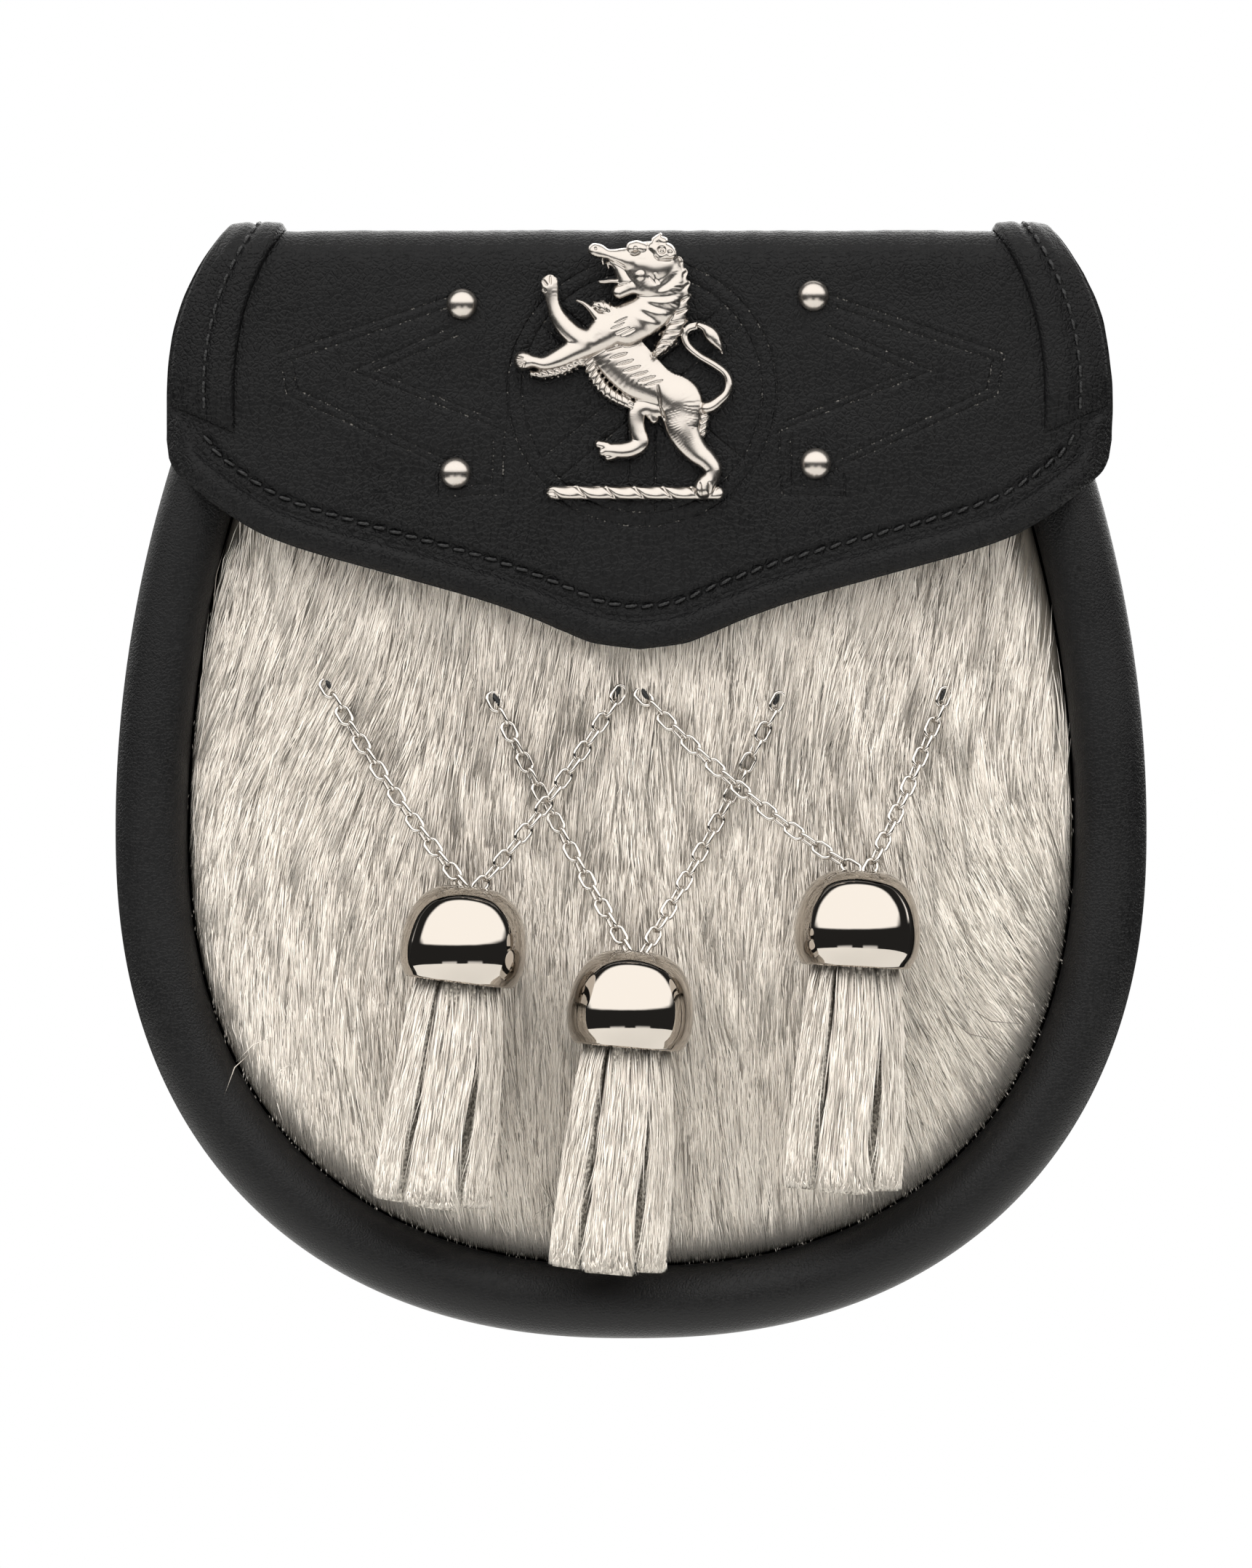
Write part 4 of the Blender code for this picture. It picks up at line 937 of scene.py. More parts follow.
# %% Badge strokes
BADGE_HEIGHT, BADGE_FOOT_DROP, BADGE_CENTRE = 48.5 * MM, 18.9 * MM, -1.3 * MM
LION = {
    # name: lift, then (across, up, radius) along the middle line
    "body": (0.6, ((-6.0, 62.0, 7.5), (-2.4, 55.6, 9.4), (4.6, 48.0, 9.4), (10.8, 43.9, 7.8),
                   (15.6, 41.3, 7.2), (20.8, 37.6, 8.4), (21.6, 32.5, 7.6), (21.9, 27.5, 6.6),
                   (24.0, 22.6, 5.6), (27.3, 18.4, 4.7), (30.8, 15.4, 4.0), (33.2, 12.2, 3.5),
                   (32.6, 8.8, 3.2), (30.8, 6.6, 3.8), (29.8, 4.9, 3.9))),
    "shoulder": (1.0, ((-11.2, 60.4, 4.6), (-6.6, 63.5, 6.4), (-1.2, 66.5, 6.6), (4.1, 69.6, 6.0))),
    "neck": (0.7, ((1.1, 65.0, 7.4), (7.2, 68.8, 7.8), (12.5, 73.4, 7.7), (15.2, 78.8, 7.5),
                   (14.8, 84.2, 7.3), (13.3, 88.4, 7.3))),
    "skull": (0.8, ((11.8, 89.1, 8.0), (8.3, 89.9, 7.0), (4.9, 90.2, 5.2))),
    "face": (0.7, ((3.4, 89.4, 4.6), (6.6, 85.6, 5.6), (10.4, 81.8, 6.6))),
    "muzzle": (0.9, ((-10.9, 93.8, 2.6), (-9.3, 93.3, 2.7), (-6.4, 92.3, 2.0), (-3.6, 91.6, 2.5),
                     (-0.6, 91.0, 3.5), (2.2, 90.4, 4.4))),
    "brow": (1.9, ((3.0, 94.7, 2.3), (4.9, 95.0, 2.4), (7.2, 94.5, 2.1))),
    "gum": (0.2, ((-4.6, 89.4, 1.4), (-2.2, 87.4, 2.1), (-0.8, 84.9, 2.5), (0.9, 82.0, 3.0))),
    "cheek": (1.2, ((6.6, 86.4, 2.6), (6.0, 83.6, 2.9), (7.4, 81.0, 2.6))),
    "ear": (2.2, ((11.0, 94.9, 2.4), (13.3, 93.7, 3.3), (16.0, 93.3, 3.2), (17.9, 92.2, 2.1))),
    "ear_tip": (1.5, ((11.9, 97.3, 1.7), (13.5, 99.3, 0.8), (13.6, 100.2, 0.3))),
    "ear_back": (1.5, ((13.3, 97.7, 1.5), (14.8, 97.1, 1.7))),
    "jaw": (0.8, ((8.4, 79.4, 3.8), (3.8, 80.4, 3.4), (0.8, 79.4, 3.1), (-1.6, 78.2, 2.9))),
    "tongue": (0.4, ((-0.5, 82.0, 1.1), (-4.3, 82.2, 0.9), (-7.0, 81.9, 0.8), (-9.1, 81.9, 0.6))),
    "front_tooth": (0.4, ((-8.1, 90.1, 0.7), (-7.8, 88.6, 0.3))),
    "back_tooth": (0.4, ((-6.2, 88.8, 0.8), (-5.8, 87.1, 0.3))),
    "high_foreleg": (0.0, ((-27.7, 81.4, 3.2), (-27.6, 79.4, 3.2), (-27.0, 76.6, 2.7), (-26.3, 73.2, 2.6),
                           (-24.6, 68.8, 3.2), (-21.5, 64.6, 3.8), (-17.3, 61.2, 4.1), (-11.2, 59.7, 4.2))),
    "low_foreleg": (1.3, ((-37.5, 52.5, 3.7), (-34.0, 52.2, 2.5), (-29.6, 51.5, 2.9), (-24.2, 53.4, 3.8),
                          (-18.8, 56.2, 4.4), (-12.7, 59.3, 5.2), (-7.4, 62.0, 5.8))),
    "chest_spur": (0.2, ((-17.5, 74.9, 0.4), (-15.0, 73.8, 0.9), (-12.3, 71.5, 1.4), (-9.7, 68.8, 2.1),
                         (-6.6, 68.1, 3.1))),
    "chest_curl": (0.5, ((-10.8, 73.4, 1.2), (-8.1, 72.8, 2.1), (-4.3, 71.5, 2.0), (-0.5, 70.4, 2.3))),
    "raised_leg": (0.5, ((12.9, 35.0, 4.0), (8.4, 35.8, 3.8), (5.3, 33.9, 3.5), (4.7, 29.6, 3.2),
                         (5.4, 25.6, 3.3), (6.3, 22.2, 3.5), (3.6, 19.8, 3.4), (-0.4, 18.9, 3.2),
                         (-4.0, 19.1, 2.8), (-6.4, 19.2, 2.2))),
    "groin": (0.0, ((10.4, 33.4, 3.0), (11.2, 30.6, 1.9))),
    "toe_high": (1.0, ((-6.4, 20.6, 1.8), (-9.4, 21.2, 1.7))),
    "toe_middle": (1.1, ((-5.4, 18.8, 1.8), (-8.0, 18.2, 1.7))),
    "toe_low": (1.0, ((-3.6, 17.2, 1.8), (-6.0, 16.4, 1.6))),
    "tail": (0.2, ((31.0, 34.9, 2.5), (32.9, 35.5, 2.4), (35.1, 37.1, 2.2), (38.2, 40.1, 1.9),
                   (39.3, 44.0, 1.7), (37.8, 47.8, 1.5), (33.6, 51.1, 1.5), (28.2, 54.3, 1.4),
                   (24.0, 58.0, 1.4), (22.5, 62.0, 1.3), (24.2, 64.6, 1.3), (27.5, 65.6, 1.3))),
    "tail_tuft": (0.8, ((28.2, 65.8, 1.2), (30.9, 64.2, 2.0), (32.8, 62.0, 2.8), (34.7, 59.3, 2.0),
                        (35.9, 57.4, 1.1), (36.8, 55.2, 0.3))),
    "mane_edge": (0.0, ((19.4, 89.2, 2.4), (20.6, 84.9, 2.9), (21.6, 78.9, 3.1), (21.3, 72.7, 3.1),
                        (19.6, 66.6, 3.5), (16.6, 60.9, 3.4), (12.4, 55.4, 1.9))),
    "belly_fringe": (0.0, ((-13.8, 56.6, 2.0), (-12.6, 50.4, 2.3), (-9.6, 44.7, 2.4), (-4.9, 39.9, 2.4),
                           (2.0, 36.3, 2.2))),
    "elbow_fringe": (0.5, ((-34.6, 47.6, 1.1), (-30.0, 47.4, 1.7), (-23.6, 49.2, 2.3), (-17.0, 53.0, 3.0))),
    "rump_fringe": (0.0, ((30.2, 31.4, 1.6), (29.4, 25.4, 1.6))),
}
FRINGED = {"mane_edge": 4.2, "belly_fringe": 2.6, "elbow_fringe": 2.4, "rump_fringe": 2.4, "chest_curl": 2.6}
CUTS = (
    # from, to, half width, depth
    *(((x + 5.4, z + 1.2), (x - 0.4, z - 0.6), 0.42, 0.75) for x, z in
      ((-6.2, 56.8), (-4.4, 53.8), (-2.0, 51.2), (0.6, 48.9), (3.4, 46.9), (6.2, 45.1), (9.0, 43.6))),
    *(((x + 4.6, z + 2.2), (x, z), 0.42, 0.6) for x, z in
      ((-4.6, 64.0), (-3.4, 66.2), (-2.8, 62.2), (-0.8, 61.8))),
    ((12.6, 43.6), (13.6, 35.4), 0.5, 1.0), ((13.6, 35.4), (15.4, 30.2), 0.5, 1.0),
    ((-41.0, 54.0), (-37.6, 53.2), 0.45, 1.1), ((-41.0, 51.2), (-37.8, 51.6), 0.45, 1.1),
    ((-30.6, 83.0), (-28.8, 80.6), 0.45, 1.1), ((-27.6, 84.0), (-27.4, 81.0), 0.45, 1.1),
    ((-38.0, 48.6), (-37.2, 51.6), 0.45, 1.0), ((-31.2, 79.0), (-29.4, 78.4), 0.45, 1.0),
    ((28.4, 6.6), (28.8, 2.2), 0.45, 1.0), ((31.8, 6.6), (32.0, 2.2), 0.45, 1.0),
    ((9.6, 84.4), (11.6, 81.0), 0.42, 0.7), ((11.6, 84.8), (13.0, 81.4), 0.42, 0.7),
    ((2.6, 92.4), (4.2, 92.0), 0.5, 0.7), ((4.2, 92.0), (6.0, 93.0), 0.5, 0.7),
    ((11.4, 91.4), (13.0, 90.0), 0.5, 0.8), ((13.0, 90.0), (17.6, 90.0), 0.5, 0.8),
    ((-1.8, 80.6), (2.4, 81.6), 0.4, 0.7), ((-3.2, 89.6), (0.6, 87.4), 0.4, 0.7),
)
BUMPS = (
    # middle, radius, height
    ((4.3, 94.2), 0.9, 0.9), ((14.2, 93.6), 1.6, -1.4), ((14.2, 93.6), 0.7, 1.0), ((17.2, 92.6), 0.9, -0.8),
    ((6.2, 84.2), 1.5, 0.8), ((-10.6, 94.3), 0.6, -0.8), ((-8.2, 79.2), 0.7, 0.5),
)
BAR = ((-26.4, 3.1, 2.6), (35.0, 2.9, 2.5))
BAR_LAY = 10.7
FACE_UP, LEAN, THIGH_LEAN = 0.12, 0.085, 0.11
HOCK_UP, HOCK_REACH = 30, 6


def flowing(rows, fine=6):
    """A stroke's rows joined by a curve through all of them, with fine points to each run."""
    rows = np.asarray(rows, float)
    padded = np.concatenate(([2 * rows[0] - rows[1]], rows, [2 * rows[-1] - rows[-2]]))
    t = np.linspace(0, 1, fine, endpoint=False)[None, :, None]
    a, b, c, d = (padded[shift:shift + len(rows) - 1, None] for shift in range(4))
    curve = 0.5 * (2 * b + (c - a) * t + (2 * a - 5 * b + 4 * c - d) * t**2 + (3 * b - a - 3 * c + d) * t**3)
    return np.concatenate((curve.reshape(-1, rows.shape[1]), rows[-1:]))


def stroke_field(points, rows):
    """For each point: its distance outside the stroke, its share across, side and length along."""
    path = flowing(rows)
    best = [np.full(points.shape[:-1], np.inf)] + [np.zeros(points.shape[:-1]) for _ in range(5)]
    travelled = 0.0
    for here, there in zip(path[:-1], path[1:]):
        run = there[:2] - here[:2]
        length = np.linalg.norm(run)
        offset = points - here[:2]
        t = np.clip(offset @ run / length**2, 0, 1)
        radius = here[2] + (there[2] - here[2]) * t
        away = np.linalg.norm(offset - t[..., None] * run, axis=-1)
        side = (offset[..., 0] * -run[1] + offset[..., 1] * run[0]) / length
        found = (away - radius, away / radius, side / radius, travelled + t * length, radius,
                 offset[..., 1] - t * run[1])
        closer = found[0] < best[0]
        best = [np.where(closer, new, old) for new, old in zip(found, best)]
        travelled += length
    return best


# %% [markdown]
# A stroke's section is a pillow, steep at its sides and nearly flat on top. The top faces up a little,
# so that it mirrors the light and not the dark room, and the body turns back up under the thigh.
# Fringes of hair are strokes whose edge is scalloped and whose face has slanting cuts. Ribs, claws
# and folds are single cuts, deepest in their middle. Where strokes meet, the higher one wins softly,
# so that the casting has no gaps. Sizes here are hundredths of the casting's height too.

# %% Badge relief
CELL, PLATE, CRISP = 0.35, 1.7, 3.2
badge_across = np.arange(-44, 44, CELL)
badge_up = np.arange(-2, 102, CELL)
badge_points = np.stack(np.meshgrid(badge_across, badge_up, indexing="ij"), axis=-1)


def cut(distance, half_width, depth):
    """A furrow's height: -depth times the bell curve of distance over half width."""
    return -depth * np.exp(-(distance / half_width) ** 2)


def badge_relief(points):
    """The casting's height, and the distance outside its outline, in hundredths of its own height."""
    outside = np.full(points.shape[:-1], np.inf)
    total = np.zeros(points.shape[:-1])
    for name, (lift, rows) in {**LION, "bar": (0.0, BAR)}.items():
        away, share, side, along, radius, above_axis = stroke_field(points, rows)
        pillow = np.clip(1 - np.clip(share, 0, 1) ** 2.2, 0, 1) ** 0.6
        level = points[..., 1] - np.mean([row[1] for row in rows])
        form = lift * pillow**0.3 + 1.1 * radius**0.6 * pillow
        form = form - (FACE_UP * above_axis + LEAN * level) * pillow**0.5
        if name == "body":
            above_hock = points[..., 1] - HOCK_UP
            form = form - THIGH_LEAN * above_hock * np.exp(-(above_hock / HOCK_REACH) ** 2) * pillow**0.5
        if name in FRINGED:
            tuft = along / FRINGED[name] + 0.45 * side
            away = away + 0.16 * radius * np.cos(2 * math.pi * tuft)
            form = form + cut((tuft % 1) - 0.5, 0.13, 0.9) * pillow
        if name == "neck":
            wave = np.sin(side * 5.5 + along * 1.35)
            combed = np.clip((along - 3) / 6, 0, 1) * np.clip((0.75 - side) * 2, 0, 1)
            form = form + 0.26 * wave * combed * pillow
        if name == "bar":
            wrap = (along / BAR_LAY + 0.22 * side) % 1
            form = form + cut(np.minimum(wrap, 1 - wrap), 0.07, 1.0) + 0.35 * np.sin(2 * math.pi * wrap)
        total += np.where(away < 0, np.exp(CRISP * np.maximum(PLATE + form, 0)) - 1, 0)
        outside = np.minimum(outside, away)
    height = np.log1p(total) / CRISP
    for first, last, half_width, depth in CUTS:
        run = np.subtract(last, first)
        t = np.clip((points - first) @ run / (run @ run), 0, 1)
        distance = np.linalg.norm(points - (np.array(first) + t[..., None] * run), axis=-1)
        height = height + cut(distance, half_width * (0.5 + 2 * t * (1 - t)), depth)
    for middle, radius, rise in BUMPS:
        height = height + rise * np.exp(-(np.linalg.norm(points - middle, axis=-1) / radius) ** 4)
    return height, outside


badge_high, badge_outside = badge_relief(badge_points)
inside = badge_outside < CELL * 0.25
whole = np.logical_and.reduce(cell_corners(inside))
used = np.zeros_like(inside)
for corner in cell_corners(used):
    corner |= whole
slope = np.stack(np.gradient(badge_outside, CELL), axis=-1)
slope /= np.maximum(np.linalg.norm(slope, axis=-1, keepdims=True), 0.3)
rim_cells = np.zeros_like(used)
rim_cells[1:-1, 1:-1] = used[1:-1, 1:-1] & ~np.logical_and.reduce(cell_corners(whole))
snapped = badge_points - slope * (np.clip(badge_outside, -CELL, CELL) * rim_cells)[..., None]
badge_high = np.where(rim_cells, PLATE, np.maximum(badge_high, PLATE * 0.6))

scale = BADGE_HEIGHT / 100
badge_back = flap_seat(BADGE_HEIGHT / 2 - BADGE_FOOT_DROP, BADGE_HEIGHT / 2)
number = np.full(used.shape, -1)
number[used] = np.arange(used.sum())
flat = snapped[used] * scale + (BADGE_CENTRE, -BADGE_FOOT_DROP)
front_face, rear_face = stood(flat, badge_back - badge_high[used] * scale), stood(flat, badge_back)
quads = np.stack([corner[whole] for corner in cell_corners(number)], axis=1)
edges = np.concatenate([np.stack([quads[:, k], quads[:, (k + 1) % 4]], axis=1) for k in range(4)])
code = edges[:, 0] * 10**7 + edges[:, 1]
lone = edges[~np.isin(code, edges[:, 1] * 10**7 + edges[:, 0])]
skirt = np.stack([lone[:, 1], lone[:, 0], lone[:, 0] + len(flat), lone[:, 1] + len(flat)], axis=1)
badge = face_out(put_mesh("lion_casting", np.concatenate((front_face, rear_face)),
                          [quads, quads[:, ::-1] + len(flat), skirt], nickel))
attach(badge, "root")
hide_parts("lion_badge")
print("badge faces", len(badge.data.polygons))

# %% [markdown]
# ## Studs and bells
# Both are turned shapes: a profile swung round an axis. A stud is a low dome with a tucked edge. The
# bell's metal was pressed from sheet, so its rim rolls inwards and its top has a hole for the chains.

# %% Turned pieces
def turned(profile, sides):
    """Swings a profile of (radius, height) round Z: rings of (r cos a, r sin a, height)."""
    angle, profile = circle(sides), np.asarray(profile)
    return np.stack([profile[:, :1] * np.cos(angle), profile[:, :1] * np.sin(angle),
                     np.repeat(profile[:, 1:], sides, 1)], axis=-1)


def put_turned(name, profile, sides, place, material, closed):
    """A turned piece at a place: closed joins the profile's last ring to its first."""
    points, faces = tube(turned(profile, sides))
    if closed:
        faces = [looped_quads(len(profile), sides)]
    return face_out(put_mesh(name, placed(points, place), faces, material))


STUD_RADIUS, STUD_HEIGHT, STUD_SKIRT, STUD_SEAT = 2.85 * MM, 2.2 * MM, 0.3 * MM, 0.12 * MM
STUDS = (("upper_left", -30.7, 16.9), ("upper_right", 33.1, 18.4), ("lower_left", -31.9, -13.8),
         ("lower_right", 33.5, -12.1))
angle = np.radians(np.linspace(2, 68, 14))
drop = (1 - np.cos(angle)) / (1 - np.cos(angle[-1]))
dome = np.stack([STUD_RADIUS * np.sin(angle) / np.sin(angle[-1]),
                 STUD_HEIGHT - (STUD_HEIGHT - STUD_SKIRT) * drop], axis=1)
dome = np.concatenate((dome, [(STUD_RADIUS * 0.99, STUD_SKIRT / 2), (STUD_RADIUS * 0.9, -0.05 * MM)]))
for word, across, up in STUDS:
    depth = flap_seat(up * MM, STUD_RADIUS) + STUD_SEAT
    place = Matrix.Translation((across * MM, depth, up * MM)) @ Matrix.Rotation(math.pi / 2, 4, "X")
    stud = put_turned(f"dome_stud_{word}", dome, 40, place, nickel, False)
    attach(stud, "root")
    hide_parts(f"stud_{word}")

CAP_RADIUS, CAP_HEIGHT, CAP_WALL, CAP_HOLE_RADIUS = 11.45 * MM, 17.4 * MM, 0.8 * MM, 3.4 * MM
CAP_DROPS = (0.0, 0.04, 0.15, 0.33, 0.55, 0.72, 0.87, 1.0)
CAP_RADII = (0.30, 0.52, 0.75, 0.91, 0.99, 1.0, 0.96, 0.86)
TASSELS = (("left", -30.1 * MM, 97.5 * MM, 7.0), ("centre", 0.1 * MM, 109.2 * MM, 5.0),
           ("right", 41.1 * MM, 94.6 * MM, 3.0))


def tassel_place(across, drop, lean):
    """Where a tassel hangs: the top of its cap, on the axis, with the cap against the hide."""
    low = np.array([across, -drop - CAP_HEIGHT / 2])
    share = np.clip(panel_share(np.array([low, low + (0, CAP_HEIGHT)])), 0, 1)
    rest = -(POUCH_DEPTH - PANEL_EDGE_SETBACK + PANEL_CROWN * (1 - share**2.2)).max() - 0.5 * MM
    turn = Matrix.Rotation(math.radians(lean), 4, "Y")
    return (Matrix.Translation((across, rest - GAP - CAP_RADIUS, -drop)) @ turn
            @ Matrix.Translation((0, 0, CAP_HEIGHT / 2)))


profile = flowing([(r * CAP_RADIUS, -d * CAP_HEIGHT) for r, d in zip(CAP_RADII, CAP_DROPS)], 5)
inner_wall = profile - leftward(headings(profile)) * CAP_WALL * 0.95
inner_wall[:, 0] = np.maximum(inner_wall[:, 0], CAP_HOLE_RADIUS)
bell = np.concatenate((profile, inner_wall[::-1]))
for word, *where in TASSELS:
    cap = put_turned(f"bell_cap_{word}", bell, 64, tassel_place(*where), chrome, True)
    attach(cap, "root")
    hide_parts(f"tassel_cap_{word}")
print("bell faces", len(cap.data.polygons))

# %% [markdown]
# ## Chain
# Fine cable chain: oval links of round wire, each a quarter turn from the next, so that they lie at
# about 45 degrees to the hide in turn. One link is worked out once, and all links of a run are placed
# by frames along the run as whole arrays.

# %% Chains
CHAIN_WIDTH, CHAIN_SPREAD = 2.4 * MM, 1.7 * MM
LINK_LENGTH, LINK_WIDTH, WIRE = 4.4 * MM, 3.1 * MM, 0.72 * MM
LINK_PITCH = LINK_LENGTH - 2 * WIRE - 0.05 * MM
CHAINS = (
    (-55.2 * MM, 52.8 * MM, "left", -1, 1.6 * MM, 1.3), (-24.8 * MM, 55.3 * MM, "centre", -1, 1.2 * MM, 2.2),
    (-2.3 * MM, 54.0 * MM, "left", 1, 1.6 * MM, 0.9), (2.3 * MM, 54.4 * MM, "right", -1, 2.4 * MM, 0.9),
    (26.7 * MM, 55.3 * MM, "centre", 1, 1.2 * MM, 2.2), (57.0 * MM, 54.4 * MM, "right", 1, 1.2 * MM, 1.3),
)


def chain_run(across, drop, tassel, side, sag, late):
    """The run from its hole in the hide to the top of its cap, sagging a little and leaving the hide late."""
    place = tassel_place(*{row[0]: row[1:] for row in TASSELS}[tassel])
    end = np.array(place @ Matrix.Translation((side * CHAIN_SPREAD, 0, CHAIN_WIDTH * 0.2)).translation)
    hole = np.array([across, -drop])
    share = np.linspace(0, 1, 80)
    flat = hole + (end[[0, 2]] - hole) * share[:, None]
    flat[:, 1] -= sag * 4 * share * (1 - share)
    first = float(hide_depth(hole)) - 0.6 * MM
    depth = first + (end[1] - first) * share**late
    depth = np.minimum(depth, hide_depth(flat) - 1.5 * MM * np.clip(share * 9, 0.2, 1))
    return stood(flat, depth)


def link_shape(around, sides):
    """An oval link in its own plane: a ring of wire round two half circles joined by straight runs."""
    reach = (LINK_WIDTH - WIRE) / 2
    straight = (LINK_LENGTH - WIRE) / 2 - reach
    turn, wire = circle(around), circle(sides)
    centre = np.stack([reach * np.cos(turn), reach * np.sin(turn) + straight * np.sign(np.sin(turn + 1e-9)),
                       0 * turn], axis=1)
    out = np.stack([np.cos(turn), np.sin(turn), 0 * turn], axis=1)
    ring = out[:, None] * np.cos(wire)[:, None] + (0, 0, 1) * np.sin(wire)[:, None]
    return (centre[:, None] + ring * WIRE / 2).reshape(-1, 3)


LINK_AROUND, LINK_SIDES = 22, 8
LINK_TURNS = np.radians((18, -66))
link = link_shape(LINK_AROUND, LINK_SIDES)
link_faces = looped_quads(LINK_AROUND, LINK_SIDES)
total_links = 0
for number_of, row in enumerate(CHAINS, 1):
    run = chain_run(*row)
    count = int(round(lengths_along(run)[-1] / LINK_PITCH))
    places = evenly_spaced(run, count)
    along = headings(places)
    side = unit(np.cross(along, (0, -1, 0)))
    front = np.cross(side, along)
    quarter = LINK_TURNS[np.arange(count) % 2][:, None]
    flat_way = side * np.cos(quarter) + front * np.sin(quarter)
    frames = np.stack([flat_way, along, np.cross(flat_way, along)], axis=1)
    points = (places[:, None] + link @ frames).reshape(-1, 3)
    faces = [repeated(link_faces, count, len(link))]
    chain = face_out(put_mesh(f"cable_chain_{number_of}", points, faces, steel))
    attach(chain, "root")
    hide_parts(f"chain_{number_of}")
    total_links += count
print("links", total_links)

# %% [markdown]
# ## Hair
# Short coat hair lies flat in one direction and gathers into small pointed locks. Each hair is a
# closed spindle: a point at the root, a three-sided ring where it is thickest, and a point at the
# tip. Hairs of one lock share a tip, roughly, and a slow field turns whole patches, as on the animal:
# six of them were read from the photograph, in millimetres. Real hair is thinner than this; it is
# drawn as coarse as it needs to show.

# %% Hair tools
SPINDLE = np.array([[0, 2, 1], [0, 3, 2], [0, 1, 3], [1, 2, 4], [2, 3, 4], [3, 1, 4]])
SPINDLE_TONES = (-0.14, 0.0, 0.0, 0.02, 0.04)


def spindles(name, root, middle, tip, out, width, tones, material):
    """Closed spindles through three points each, a little darker at the root and paler at the tip."""
    side = unit(np.cross(tip - root, out))
    half = (width / 2)[:, None]
    points = np.stack([root, middle - side * half, middle + side * half, middle + out * half, tip], axis=1)
    spread = np.clip(tones[:, None] + SPINDLE_TONES, 0, 1).ravel()
    faces = [repeated(SPINDLE, len(root), points.shape[1])]
    return face_out(put_mesh(name, points.reshape(-1, 3), faces, material, spread))


LIE_PATCHES = (
    # degrees, middle (across, up), half width, half height
    (-22, -62, -50, 30, 34), (-10, -30, -45, 22, 20), (-16, 48, -38, 30, 20),
    (38, 66, -112, 24, 28), (18, 66, -75, 18, 24), (10, -40, -128, 26, 22),
)


def lie(points):
    """Which way the hair lies at each (across, up) point, in radians from straight down."""
    x, z = points[..., 0], points[..., 1]
    degrees = 0
    for turn, across, up, wide, high in LIE_PATCHES:
        degrees = degrees + turn * np.exp(-(((x / MM - across) / wide) ** 2 + ((z / MM - up) / high) ** 2))
    return np.radians(degrees + 5 * wander(x, z, 36 * MM, 31) + 3 * wander(x, z, 12 * MM, 32))


# %% [markdown]
# The under coat is the hide itself: a closed sheet on the panel's crown, streaked darker, that shows
# between the hairs. Its tone falls to dark at the rim: painted shade where the hide meets the roll.

# %% Under coat
EDGE_SINK, EDGE_SINK_FROM = 1.2 * MM, 0.96


def front_sheet():
    """Rings of the panel's edge shrunk to its middle, on the front and on the flesh side."""
    edge = panel_outline(200, 50)
    shares = np.concatenate((np.linspace(0.01, 0.92, 26), np.linspace(0.95, 1.0, 6)))
    front, rear = [], []
    for share in shares:
        ring = PANEL_MIDDLE + (edge - PANEL_MIDDLE) * share
        depth = hide_depth(ring)
        sunk = EDGE_SINK * max(0.0, (share - EDGE_SINK_FROM) / (1 - EDGE_SINK_FROM))
        front.append(stood(ring, depth + sunk))
        rear.append(stood(ring, depth + PANEL_THICKNESS))
    return np.array(front + rear[::-1])


coat_points, coat_faces = tube(front_sheet())
streaks_and_edge_shade = 0.55 + 0.3 * wander(coat_points[:, 0], coat_points[:, 2] * 0.15, 2.4 * MM, 41)
# Painted shade: the tone falls to dark over the last few hundredths before the rim.
streaks_and_edge_shade = streaks_and_edge_shade * np.clip((1.0 - panel_share(coat_points[:, (0, 2)])) * 22, 0, 1)
under_coat = face_out(put_mesh("hide_under_coat", coat_points, coat_faces, skin, np.clip(streaks_and_edge_shade, 0, 1)))
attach(under_coat, "root")
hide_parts("front_panel")

# %% [markdown]
# The locks are laid in three pieces, so that no piece is too heavy. A hair whose tip would pass the
# rim is shortened to end beside it. Lengths and widths are in millimetres.

# %% Coat hair
HAIRS, LOCK_OF = 70000, 6
LOCK_LENGTHS, HAIR_WIDTHS, ROOT_SINK = (18, 28), (0.16, 0.32), 0.3 * MM
LOCK_TURN, HAIR_SPREAD, TIP_SPREAD, BOW = 3.5, 0.75, 0.42, 0.30
DARK_SHARE, DARK_TONE = 0.13, 0.5
draw = np.random.default_rng(7)


def coat_tone(points):
    """The coat's tone: pale, with slow patches and fine streaks, and painted shade just under the flap."""
    x, z = points[:, 0], points[:, 1]
    # Painted shade: the coat darkens in a band just below the flap's edge, where the flap shades it.
    flap_shade = np.exp(-((z + 44 * MM) / (15 * MM)) ** 2)
    flap_shade = flap_shade * np.clip(0.75 - np.abs(x + 20 * MM) / (90 * MM), 0, 1)
    left = np.exp(-((x + 42 * MM) / (22 * MM)) ** 2 - ((z + 92 * MM) / (20 * MM)) ** 2)
    return (0.82 + 0.03 * wander(x, z * 0.4, 24 * MM, 51) + 0.07 * wander(x, z * 0.13, 4.5 * MM, 52)
            + 0.07 * wander(x, z * 0.12, 1.8 * MM, 53) - 0.20 * flap_shade - 0.07 * left)


